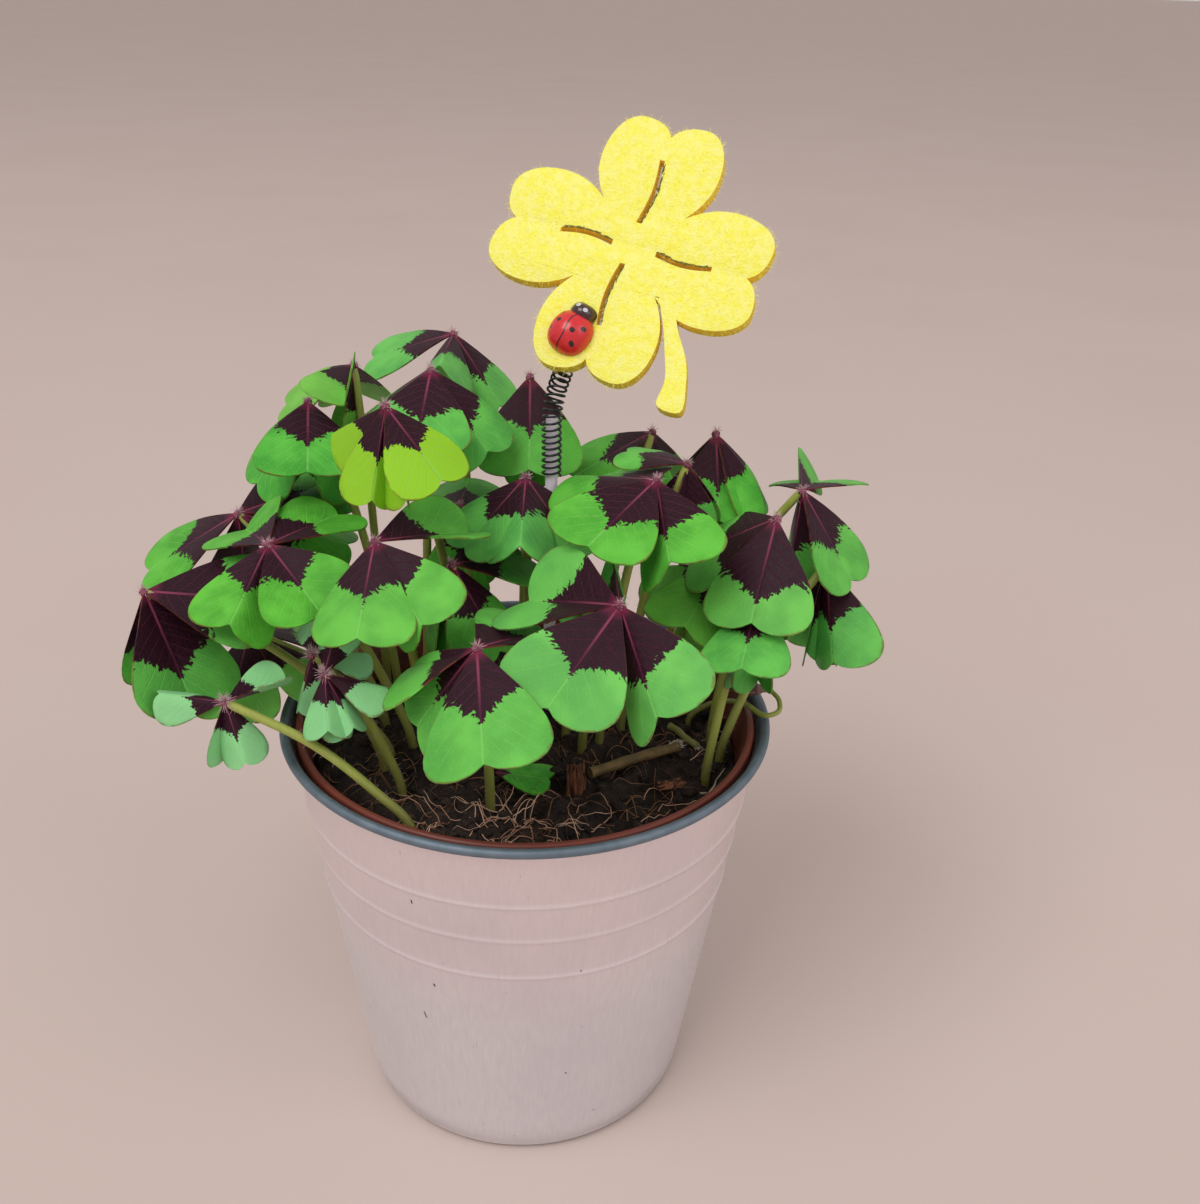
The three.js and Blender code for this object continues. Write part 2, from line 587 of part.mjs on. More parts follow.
const holes = LEAVES.map(({ foot }) => ({
  place: foot,
  radius: PETIOLE_RADIUS + 0.75,
  depth: ROOT_DEPTH + 0.5,
}));
const rodSoil = soilTop(...ROD_PLACE);
holes.push({ place: WITHERED_STALK[0].slice(0, 2), radius: WITHERED_RADIUS + 0.5, depth: ROOT_DEPTH });
holes.push({ place: BARK_STUB.place, radius: BARK_STUB.radius + 0.6, depth: BARK_STUB.sunk + 0.5 });
holes.push({ place: ROD_PLACE, radius: ROD_RADIUS + 0.55, depth: rodSoil - ROD_FOOT + 0.5 });
plant.add(named("soil", soilGeometry(holes), looks.soil));

const young = LEAVES.slice(-YOUNG_LEAVES);
LEAVES.slice(0, -YOUNG_LEAVES).forEach((leaf, i) => {
  const name = `leaf_${String(i + 1).padStart(2, "0")}`;
  plant.add(named(name, geometryOf(leafSolid(leaf)), looks.leaf));
});
plant.add(named("young_tuft", geometryOf(joined(young.slice(0, 2).map(leafSolid))), looks.leaf));
plant.add(named("young_leaf", geometryOf(leafSolid(young[2])), looks.leaf));

plant.add(named("withered_leaf", witheredGeometry(), looks.withered));
plant.add(named("cut_stem", lyingGeometry(CUT_STEM), looks.leaf));
plant.add(named("cut_petiole", lyingGeometry(CUT_PETIOLE), looks.leaf));
plant.add(named("bark_stub", stubGeometry(), looks.bark));
plant.add(named("bark_chip", chipGeometry(), looks.bark));
plant.add(named("fallen_leaflet", fallenGeometry(), looks.leaf));

plant.add(named("pick_rod", rodGeometry(), looks.rod));
plant.add(named("pick_spring", springGeometry(), looks.wire));

const pickTop = feltFrame();
const felt = named("felt_clover", feltGeometry(), looks.felt);
felt.rotation.z = degrees(FELT_SPIN);
felt.position.z = -FELT_THICKNESS;
const ladybird = named("ladybird", ladybirdGeometry(), looks.ladybird);
ladybird.rotation.z = degrees(LADYBIRD.turn);
ladybird.position.set(...LADYBIRD.place, SEAT_GAP);
pickTop.add(felt, ladybird);
plant.add(pickTop);

export default plant;
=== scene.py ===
from math import cos, hypot, pi, radians, sin
from random import Random

import bpy
import numpy as np
from mathutils import Matrix, Vector, noise


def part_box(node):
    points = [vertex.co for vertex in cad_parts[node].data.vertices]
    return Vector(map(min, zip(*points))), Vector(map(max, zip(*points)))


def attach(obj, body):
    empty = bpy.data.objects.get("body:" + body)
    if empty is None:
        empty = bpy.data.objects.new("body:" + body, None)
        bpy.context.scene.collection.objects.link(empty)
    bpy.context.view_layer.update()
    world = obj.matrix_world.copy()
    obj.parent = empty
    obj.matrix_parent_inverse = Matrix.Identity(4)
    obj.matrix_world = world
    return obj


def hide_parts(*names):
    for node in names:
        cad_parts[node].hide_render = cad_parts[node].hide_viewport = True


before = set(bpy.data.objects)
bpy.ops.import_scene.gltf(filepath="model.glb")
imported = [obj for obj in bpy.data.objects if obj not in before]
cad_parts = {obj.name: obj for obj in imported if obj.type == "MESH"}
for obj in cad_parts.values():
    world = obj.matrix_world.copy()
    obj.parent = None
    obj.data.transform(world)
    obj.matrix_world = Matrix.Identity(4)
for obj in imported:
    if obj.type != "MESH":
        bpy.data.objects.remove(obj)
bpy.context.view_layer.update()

# Studio: the camera stands where the photograph was taken, above the near rim and turned a
# little on its own axis. A pale floor, a pale sky and two large soft lights.
CAMERA_PLACE = (0.0161, -0.2599, 0.2525)
CAMERA_DIP = radians(25.95)
CAMERA_ROLL = radians(1.79)
FOCAL_PIXELS = 1300
PHOTO_HEIGHT = 1204


def shade(red, green, blue):
    """The colour that shows as these 0 to 255 display values."""
    def linear(value):
        share = value / 255
        return share / 12.92 if share < 0.04 else ((share + 0.055) / 1.055) ** 2.4
    return (linear(red), linear(green), linear(blue), 1)


def added(name, data):
    """A new object of this data, in the scene."""
    thing = bpy.data.objects.new(name, data)
    bpy.context.scene.collection.objects.link(thing)
    return thing


camera_data = bpy.data.cameras.new("camera")
camera_data.lens = FOCAL_PIXELS / PHOTO_HEIGHT * camera_data.sensor_width
camera_data.clip_start = 0.01
camera = added("camera", camera_data)
camera.matrix_world = (
    Matrix.Translation(CAMERA_PLACE)
    @ Matrix.Rotation(pi / 2 - CAMERA_DIP, 4, "X")
    @ Matrix.Rotation(CAMERA_ROLL, 4, "Z")
)
bpy.context.scene.camera = camera
bpy.context.scene.view_settings.view_transform = "Standard"


def soft_light(name, place, aim, width, power, colour):
    lamp = bpy.data.lights.new(name, "AREA")
    lamp.size = width
    lamp.energy = power
    lamp.color = colour
    light = added(name, lamp)
    light.location = place
    light.rotation_mode = "QUATERNION"
    light.rotation_quaternion = (Vector(aim) - Vector(place)).to_track_quat("-Z", "Y")


soft_light("key_light", (-0.9, -1.2, 2.2), (0, 0, 0.1), 1.5, 31, (1, 0.985, 0.97))
soft_light("fill_light", (1.5, -0.9, 1.2), (0, 0, 0.1), 1.2, 6, (1, 0.98, 0.97))
sky = bpy.data.worlds.new("sky")
sky.use_nodes = True
sky.node_tree.nodes["Background"].inputs["Color"].default_value = shade(228, 221, 218)
sky.node_tree.nodes["Background"].inputs["Strength"].default_value = 0.8
bpy.context.scene.world = sky


# Tin sleeve: thin tinplate rolled to a taper, seamed, with three pressed ribs and its top edge
# rolled outwards to a bead. Bright tin, brushed upwards, with a pinkish cast above that turns
# silvery lower down, a painted reflection; the bead is greyer.
MM = 0.001


class Signal:
    """One output in a material. Sums and products of it add the Math nodes for them."""

    def __init__(self, look, socket):
        self.look = look
        self.socket = socket

    def math(self, operation, *others, clamp=False):
        values = dict(enumerate((self, *others)))
        return self.look.node("ShaderNodeMath", {"operation": operation, "use_clamp": clamp}, values)

    def __add__(self, other):
        return self.math("ADD", other)

    def __radd__(self, other):
        return self.math("ADD", other)

    def __sub__(self, other):
        return self.math("SUBTRACT", other)

    def __rsub__(self, other):
        return (self * -1).math("ADD", other)

    def __mul__(self, other):
        return self.math("MULTIPLY", other)

    def __rmul__(self, other):
        return self.math("MULTIPLY", other)

    def __truediv__(self, other):
        return self.math("DIVIDE", other)

    def part(self, name):
        """X, Y or Z of a vector."""
        return self.look.node("ShaderNodeSeparateXYZ", {}, {0: self}, name)

    def step(self, low, high):
        """0 below low and 1 above high, smooth between them."""
        values = {"Value": self, "From Min": low, "From Max": high}
        smooth = {"interpolation_type": "SMOOTHSTEP"}
        return self.look.node("ShaderNodeMapRange", smooth, values, "Result")


class Look:
    """A material: its shader's constants, and the nodes that vary over the surface."""

    def __init__(self, name, **constants):
        self.material = bpy.data.materials.new(name)
        self.material.use_nodes = True
        self.tree = self.material.node_tree
        self.shader = self.tree.nodes["Principled BSDF"]
        for socket, value in constants.items():
            self.shader.inputs[socket.replace("_", " ")].default_value = value

    def node(self, kind, settings, values, output=0):
        node = self.tree.nodes.new(kind)
        for name, value in settings.items():
            setattr(node, name, value)
        for name, value in values.items():
            if isinstance(value, Signal):
                self.tree.links.new(value.socket, node.inputs[name])
            else:
                node.inputs[name].default_value = value
        return Signal(self, node.outputs[output])

    def place(self):
        return self.node("ShaderNodeTexCoord", {}, {}, "Object")

    def stored(self, name):
        """A named vector that the mesh carries."""
        return self.node("ShaderNodeAttribute", {"attribute_name": name}, {}, "Vector")

    def stretched(self, where, scale):
        return self.node("ShaderNodeMapping", {}, {"Vector": where, "Scale": scale})

    def grain(self, where, scale, detail=3):
        """Even, soft noise about 0.5."""
        return self.node("ShaderNodeTexNoise", {}, {"Vector": where, "Scale": scale, "Detail": detail})

    def blend(self, factor, first, second):
        values = {0: factor, 6: first, 7: second}
        return self.node("ShaderNodeMix", {"data_type": "RGBA"}, values, 2)

    def wear(self, **signals):
        """Links signals to the shader's sockets."""
        for socket, signal in signals.items():
            self.tree.links.new(signal.socket, self.shader.inputs[socket.replace("_", " ")])

    def relief(self, height, strength, distance):
        values = {"Height": height, "Strength": strength, "Distance": distance}
        self.wear(Normal=self.node("ShaderNodeBump", {}, values))


def only(piece):
    """Selects this piece alone and makes it the active one."""
    bpy.ops.object.select_all(action="DESELECT")
    piece.select_set(True)
    bpy.context.view_layer.objects.active = piece


def cleaned(piece, gap):
    """Merges the points of a piece that meet and turns its faces outwards."""
    only(piece)
    bpy.ops.object.mode_set(mode="EDIT")
    bpy.ops.mesh.select_all(action="SELECT")
    bpy.ops.mesh.remove_doubles(threshold=gap)
    bpy.ops.mesh.normals_make_consistent(inside=False)
    bpy.ops.object.mode_set(mode="OBJECT")
    return piece


def spun(name, profile, sides):
    """A closed turned piece from [radius, height] points in millimetres, round +Z."""
    mesh = bpy.data.meshes.new(name)
    points = [(radius * MM, 0, height * MM) for radius, height in profile]
    mesh.from_pydata(points, [(i, i + 1) for i in range(len(points) - 1)], [])
    piece = added(name, mesh)
    only(piece)
    bpy.ops.object.mode_set(mode="EDIT")
    bpy.ops.mesh.select_all(action="SELECT")
    bpy.ops.mesh.spin(steps=sides, angle=2 * pi, center=(0, 0, 0), axis=(0, 0, 1))
    bpy.ops.object.mode_set(mode="OBJECT")
    return cleaned(piece, 0.00001)


def settled(piece, nodes, looks, crease=40):
    """Gives a finished piece its materials and its shading, hangs it under the root body and hides the CAD
    nodes it stands for.
    """
    only(piece)
    if looks:
        piece.data.materials.clear()
        for look in looks:
            piece.data.materials.append(look.material)
    bpy.ops.object.shade_smooth_by_angle(angle=radians(crease))
    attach(piece, "root")
    if nodes:
        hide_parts(*nodes)


def rounded(centre, radius, start, end, steps):
    """Points of an arc in a profile, from one angle to another, in degrees."""
    turns = [radians(start + (end - start) * i / steps) for i in range(steps + 1)]
    return [(centre[0] + radius * cos(turn), centre[1] + radius * sin(turn)) for turn in turns]


SLEEVE_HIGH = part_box("tin_sleeve")[1]
SLEEVE_HEIGHT = SLEEVE_HIGH.z / MM
SLEEVE_RIM_RADIUS = SLEEVE_HIGH.x / MM
SLEEVE_BASE_RADIUS = 39.4
SLEEVE_TOP_RADIUS = 53.8
SLEEVE_CORNER = 2.4
SLEEVE_WALL = 0.6
RIB_HEIGHTS = (60.5, 71.5, 81.5)
RIB_PROUD = 0.35
RIB_WIDTH = 0.55
BEAD_RADIUS = 1.05


def sleeve_radius(height):
    return SLEEVE_BASE_RADIUS + (SLEEVE_TOP_RADIUS - SLEEVE_BASE_RADIUS) * height / SLEEVE_HEIGHT


def ribbed_radius(height):
    ribs = sum(np.exp(-(((height - rib) / RIB_WIDTH) ** 2)) for rib in RIB_HEIGHTS)
    return sleeve_radius(height) + RIB_PROUD * ribs


wall_heights = np.concatenate([
    np.linspace(3, 58, 12), np.linspace(58.5, 84, 86), np.linspace(85, 96, 6),
])
bead_centre = (SLEEVE_RIM_RADIUS - BEAD_RADIUS, SLEEVE_HEIGHT - BEAD_RADIUS)
sleeve_profile = [(0, 0.6), (SLEEVE_BASE_RADIUS - 6, 0.6), (SLEEVE_BASE_RADIUS - 4.6, 0)]
sleeve_profile += rounded((SLEEVE_BASE_RADIUS - SLEEVE_CORNER, SLEEVE_CORNER), SLEEVE_CORNER, -90, 0, 6)
sleeve_profile += [(ribbed_radius(height), height) for height in wall_heights]
sleeve_profile += rounded(bead_centre, BEAD_RADIUS, -120, 180, 16)
sleeve_profile += [(sleeve_radius(height) - SLEEVE_WALL, height) for height in (95, 80, 60, 40, 20, 4)]
sleeve_profile += [(SLEEVE_BASE_RADIUS - SLEEVE_CORNER, 1.2), (0, 1.2)]
sleeve = spun("sleeve", sleeve_profile, 160)

tin = Look("brushed_tin", Metallic=0.72)
tin_place = tin.place()
brushing = tin.grain(tin.stretched(tin_place, (1400, 1400, 22)), 1)
clouds = tin.grain(tin_place, 28)
height = tin_place.part("Z")
greyed = height.step(0.0955, 0.0968)
specks = tin.grain(tin.stretched(tin_place, (1, 1, 0.45)), 640, 1).step(0.79, 0.82)
specks = specks * clouds.step(0.42, 0.5)
pinkish = tin.blend(brushing, shade(232, 220, 224), shade(246, 236, 240))
painted_silver_reflection = tin.blend(brushing, shade(218, 218, 224), shade(240, 240, 244))
# Painted reflection: the tin turns from silvery low down to pinkish higher up, standing in for what it
# mirrors.
pinkish = tin.blend((height + clouds * 0.02).step(0.05, 0.085), painted_silver_reflection, pinkish)
pinkish = tin.blend(clouds.step(0.35, 0.75) * 0.35, pinkish, shade(212, 210, 218))
zinc = tin.blend(tin.grain(tin_place, 240), shade(92, 108, 122), shade(136, 150, 162))
tin.wear(
    Base_Color=tin.blend(specks, tin.blend(greyed, pinkish, zinc), shade(60, 45, 42)),
    Roughness=0.2 + brushing * 0.12 + clouds * 0.1 + greyed * 0.3,
)
tin.relief(brushing + clouds * 0.6, 0.12, 0.0002)
settled(sleeve, ["tin_sleeve"], [tin], 30)


# Nursery pot: thin red-brown plastic, vacuum formed, with a thick lip and holes in its floor. It
# stands loose in the sleeve, and only its lip and the inside above the soil can be seen.
LINER_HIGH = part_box("nursery_pot")[1].z / MM
LIP_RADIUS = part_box("nursery_pot")[1].x / MM
LINER_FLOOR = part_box("nursery_pot")[0].z / MM
LINER_BASE_RADIUS = 36.2
LIP_WIDTH = 1.7
LIP_DEPTH = 5
LINER_WALL = 0.9
DRAIN_RADIUS = 3
DRAIN_CIRCLE = 25


def liner_radius(height):
    share = (height - LINER_FLOOR) / (LINER_HIGH - LINER_FLOOR)
    return LINER_BASE_RADIUS + (LIP_RADIUS - 1.2 - LINER_BASE_RADIUS) * share


under_lip = LINER_HIGH - LIP_DEPTH
lip = LIP_WIDTH / 2
liner_profile = [(0, LINER_FLOOR), (LINER_BASE_RADIUS - 1, LINER_FLOOR)]
liner_profile += rounded((LINER_BASE_RADIUS - 1, LINER_FLOOR + 1), 1, -90, 0, 4)
liner_profile += [(liner_radius(height), height) for height in np.linspace(8, under_lip, 8)]
liner_profile += [(LIP_RADIUS - 0.25, under_lip + 0.3)]
liner_profile += rounded((LIP_RADIUS - lip, LINER_HIGH - lip), lip, 0, 180, 10)
liner_profile += [(LIP_RADIUS - LIP_WIDTH - 0.4, LINER_HIGH - 1.6)]
liner_profile += [(liner_radius(height) - LINER_WALL, height) for height in (under_lip, 60, 30, 5)]
floor_top = LINER_FLOOR + LINER_WALL
liner_profile += [(LINER_BASE_RADIUS - LINER_WALL - 1, floor_top), (0, floor_top)]
liner = spun("liner", liner_profile, 144)
for i in range(6):
    turn = 2 * pi * (i + 0.5) / 6
    spot = (DRAIN_CIRCLE * cos(turn) * MM, DRAIN_CIRCLE * sin(turn) * MM, LINER_FLOOR * MM)
    only(liner)
    bpy.ops.mesh.primitive_cylinder_add(
        vertices=28, radius=DRAIN_RADIUS * MM, depth=0.005, location=spot,
    )
    drill = bpy.context.object
    cut = liner.modifiers.new("drain", "BOOLEAN")
    cut.operation = "DIFFERENCE"
    cut.object = drill
    only(liner)
    bpy.ops.object.modifier_apply(modifier="drain")
    bpy.data.objects.remove(drill)

plastic = Look("red_brown_plastic")
plastic_place = plastic.place()
scuffs = plastic.grain(plastic.stretched(plastic_place, (1, 1, 4)), 90)
# Patches darker, towards peat brown, below the lip.
darker_below_lip = plastic_place.part("Z").step(0.099, 0.09) * plastic.grain(plastic_place, 160).step(0.4, 0.65)
plastic.wear(
    Base_Color=plastic.blend(
        darker_below_lip * 0.7, plastic.blend(scuffs, shade(92, 40, 30), shade(134, 62, 46)), shade(48, 34, 27)
    ),
    Roughness=0.34 + scuffs * 0.3,
)
plastic.relief(scuffs, 0.15, 0.0003)
settled(liner, ["nursery_pot"], [plastic])


# Soil: damp peat potting soil, dark and crumbly, full of fibres and fine roots. It is poured in
# and settles to a lumpy top a few millimetres below the lip.
SOIL_LEVEL = 89.5
SOIL_LUMP = 1.1
SOIL_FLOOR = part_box("soil")[0].z / MM


def soil_top(x, y):
    """Height of the soil, without its crumbs, in millimetres."""
    lumps = sin(0.35 * x + 1) * cos(0.31 * y) + 0.6 * sin(0.83 * x - 0.5 * y)
    return SOIL_LEVEL + SOIL_LUMP * lumps - 1.2 * (hypot(x, y) / 48) ** 4


def crumbly_top(x, y):
    spot = Vector((x, y, 3)) * 0.42
    clods = noise.fractal(spot, 0.6, 2.3, 5)
    pits = min(0, noise.noise(spot * 0.7 + Vector((7, 1, 0))) + 0.15)
    return soil_top(x, y) + 1.1 * clods + 2.2 * pits


def soil_radius(height):
    return liner_radius(height) - LINER_WALL - 0.35


SOIL_RINGS = 74
SOIL_SIDES = 220
soil_points = [(0, 0, crumbly_top(0, 0))]
for ring in range(1, SOIL_RINGS + 1):
    radius = soil_radius(SOIL_LEVEL - 2) * ring / SOIL_RINGS
    for side in range(SOIL_SIDES):
        turn = 2 * pi * (side + 0.5 * (ring % 2)) / SOIL_SIDES
        x, y = radius * cos(turn), radius * sin(turn)
        soil_points.append((x, y, crumbly_top(x, y)))
for side in range(SOIL_SIDES):
    turn = 2 * pi * side / SOIL_SIDES
    foot_radius = soil_radius(SOIL_FLOOR)
    soil_points.append((foot_radius * cos(turn), foot_radius * sin(turn), SOIL_FLOOR))
soil_points.append((0, 0, SOIL_FLOOR))
soil_faces = []
for side in range(SOIL_SIDES):
    following = (side + 1) % SOIL_SIDES
    soil_faces.append((0, 1 + side, 1 + following))
    for ring in range(SOIL_RINGS):
        near, far = 1 + ring * SOIL_SIDES, 1 + (ring + 1) * SOIL_SIDES
        soil_faces.append((near + side, far + side, far + following, near + following))
    foot = 1 + SOIL_RINGS * SOIL_SIDES
    soil_faces.append((len(soil_points) - 1, foot + following, foot + side))
soil_mesh = bpy.data.meshes.new("soil_bed")
soil_mesh.from_pydata([tuple(value * MM for value in point) for point in soil_points], [], soil_faces)
soil_bed = added("soil_bed", soil_mesh)

peat = Look("peat")
peat_place = peat.place()
coarse = peat.grain(peat_place, 260, 6)
fine = peat.grain(peat_place, 1500, 5)
threads = peat.grain(peat.stretched(peat_place, (300, 1500, 600)), 1, 4)
earth = peat.blend(coarse.step(0.3, 0.72), shade(17, 12, 11), shade(52, 37, 31))
earth = peat.blend(fine.step(0.5, 0.8) * 0.6, earth, shade(88, 66, 54))
peat.wear(
    Base_Color=peat.blend(threads.step(0.62, 0.74) * 0.6, earth, shade(124, 92, 68)),
    Roughness=0.78 + fine * 0.25,
)
peat.relief(coarse + fine * 0.6 + threads * 0.4, 1.0, 0.0012)
settled(soil_bed, ["soil"], [peat], 80)

# Crumbs of peat lie loose on the soil.
CRUMBS = 620
crumb_dice = Random(4)
only(soil_bed)
bpy.ops.mesh.primitive_ico_sphere_add(subdivisions=2, radius=1, location=(0, 0, 0))
crumb_ball = bpy.context.object
ball = np.array([vertex.co for vertex in crumb_ball.data.vertices])
ball_faces = np.array([tuple(face.vertices) for face in crumb_ball.data.polygons])
bpy.data.objects.remove(crumb_ball)
crumb_points, crumb_faces = [], []
for i in range(CRUMBS):
    turn, reach = crumb_dice.uniform(0, 2 * pi), 47 * crumb_dice.random() ** 0.5
    x, y = reach * cos(turn), reach * sin(turn)
    size = crumb_dice.choice((0.35, 0.5, 0.6, 0.8, 1.1, 1.5))
    offset = Vector((i * 3.1, i * 1.7, 0))
    ranges = ((0.7, 1.5), (0.7, 1.2), (0.5, 0.9))
    stretch = np.array([crumb_dice.uniform(low, high) for low, high in ranges])
    swell = np.array([1 + 0.55 * noise.noise(Vector(point) * 1.4 + offset) for point in ball])
    spin_round = np.array(Matrix.Rotation(crumb_dice.uniform(0, pi), 3, "Z"))
    lump = (ball * swell[:, None] * stretch * size) @ spin_round.T
    crumb_faces.append(ball_faces + i * len(ball))
    crumb_points.append(lump + (x, y, crumbly_top(x, y) + 0.25 * size))
crumb_mesh = bpy.data.meshes.new("soil_crumbs")
crumb_mesh.from_pydata(np.concatenate(crumb_points) * MM, [], np.concatenate(crumb_faces).tolist())
crumbs = added("soil_crumbs", crumb_mesh)
settled(crumbs, [], [peat], 80)


# Fibres and roots: dry peat fibres all over the soil, pale fine roots in a tangle in front of the
# nearest stalk, and one bare white root near the right side.
def strands(name, lines, sides_level=0):
    """Round strands as one mesh, from lines of (point in millimetres, radius in millimetres)."""
    data = bpy.data.curves.new(name, "CURVE")
    data.dimensions = "3D"
    data.bevel_depth = MM
    data.bevel_resolution = sides_level
    data.use_fill_caps = True
    for line in lines:
        spline = data.splines.new("POLY")
        spline.points.add(len(line) - 1)
        flat = [value for point, _ in line for value in (point[0] * MM, point[1] * MM, point[2] * MM, 1)]
        spline.points.foreach_set("co", flat)
        spline.points.foreach_set("radius", [radius for _, radius in line])
    only(added(name, data))
    bpy.ops.object.convert(target="MESH")
    return bpy.context.object


def lying_strand(dice, x, y, length, radius, lift, wander):
    """A strand that wanders over the soil and lifts off it here and there."""
    heading = dice.uniform(0, 2 * pi)
    curl = dice.uniform(-wander, wander)
    steps = max(5, int(length / 1.2))
    line = []
    for i in range(steps + 1):
        share = i / steps
        if hypot(x, y) > 48:
            break
        rise = lift * sin(pi * share) + 0.12
        line.append(((x, y, crumbly_top(x, y) + rise), radius * (1.05 - 0.6 * share)))
        curl += dice.uniform(-wander, wander) * 0.5
        heading += curl * length / steps * 0.35
        x += cos(heading) * length / steps
        y += sin(heading) * length / steps
    return line


def mottled(name, scale, first, second, rough, edges=None, bump=None, detail=3, **constants):
    """A look with one noise, which blends two colours, roughens the skin and may raise it."""
    look = Look(name, **constants)
    where = look.place()
    if isinstance(scale, tuple):
        where, scale = look.stretched(where, scale), 1
    tone = look.grain(where, scale, detail)
    share = tone.step(*edges) if edges else tone
    look.wear(Base_Color=look.blend(share, first, second), Roughness=rough[0] + tone * rough[1])
    if bump:
        look.relief(tone, *bump)
    return look


FIBRES = 420
fibre_dice = Random(11)
fibre_lines = []
for _ in range(FIBRES):
    turn, reach = fibre_dice.uniform(0, 2 * pi), 48 * fibre_dice.random() ** 0.5
    fibre_lines.append(lying_strand(
        fibre_dice, reach * cos(turn), reach * sin(turn), fibre_dice.uniform(3, 12),
        fibre_dice.uniform(0.06, 0.16), fibre_dice.uniform(0, 2.2), 0.5,
    ))
fibres = strands("peat_fibres", [line for line in fibre_lines if len(line) > 3])
fibre = Look("peat_fibre")
fibre_place = fibre.place()
fibre_tone = fibre.grain(fibre_place, 60)
fibre.wear(
    Base_Color=fibre.blend(fibre_tone.step(0.35, 0.7), shade(70, 44, 32), shade(158, 112, 80)),
    Roughness=0.7 + fibre.grain(fibre_place, 900) * 0.3,
)
settled(fibres, [], [fibre], 80)

ROOT_TANGLE = (-1, -35)
STRAY_ROOTS = ((22, -26), (27, -22), (30, -28), (24, -33), (38, -6), (-20, -34), (-30, -27), (41, 2))
root_lines = []
for _ in range(46):
    x = ROOT_TANGLE[0] + fibre_dice.gauss(0, 8)
    y = ROOT_TANGLE[1] + fibre_dice.gauss(0, 3.6)
    root_lines.append(lying_strand(
        fibre_dice, x, y, fibre_dice.uniform(7, 18), fibre_dice.uniform(0.08, 0.16),
        fibre_dice.uniform(0.4, 2.6), 0.35,
    ))
for x, y in STRAY_ROOTS:
    root_lines.append(lying_strand(fibre_dice, x, y, 13, 0.13, 1.6, 0.45))
roots = strands("fine_roots", [line for line in root_lines if len(line) > 3])
root = mottled("root_skin", 120, shade(226, 184, 158), shade(172, 122, 96), (0.5, 0.3), (0.3, 0.7))
settled(roots, [], [root], 80)

BARE_ROOT = [(39.5, -19.3), (41.6, -18.4), (43, -15.6), (43.6, -12.4), (45.8, -8.9)]
bare_line = [
    ((x, y, crumbly_top(x, y) + 0.3 + 0.5 * (i % 2)), 0.3 - 0.04 * i)
    for i, (x, y) in enumerate(BARE_ROOT)
]
bare_root = strands("bare_root", [bare_line], 2)
pale_root = mottled("pale_root", 400, shade(226, 214, 196), shade(176, 158, 134), (0.4, 0.2))
settled(bare_root, [], [pale_root], 80)


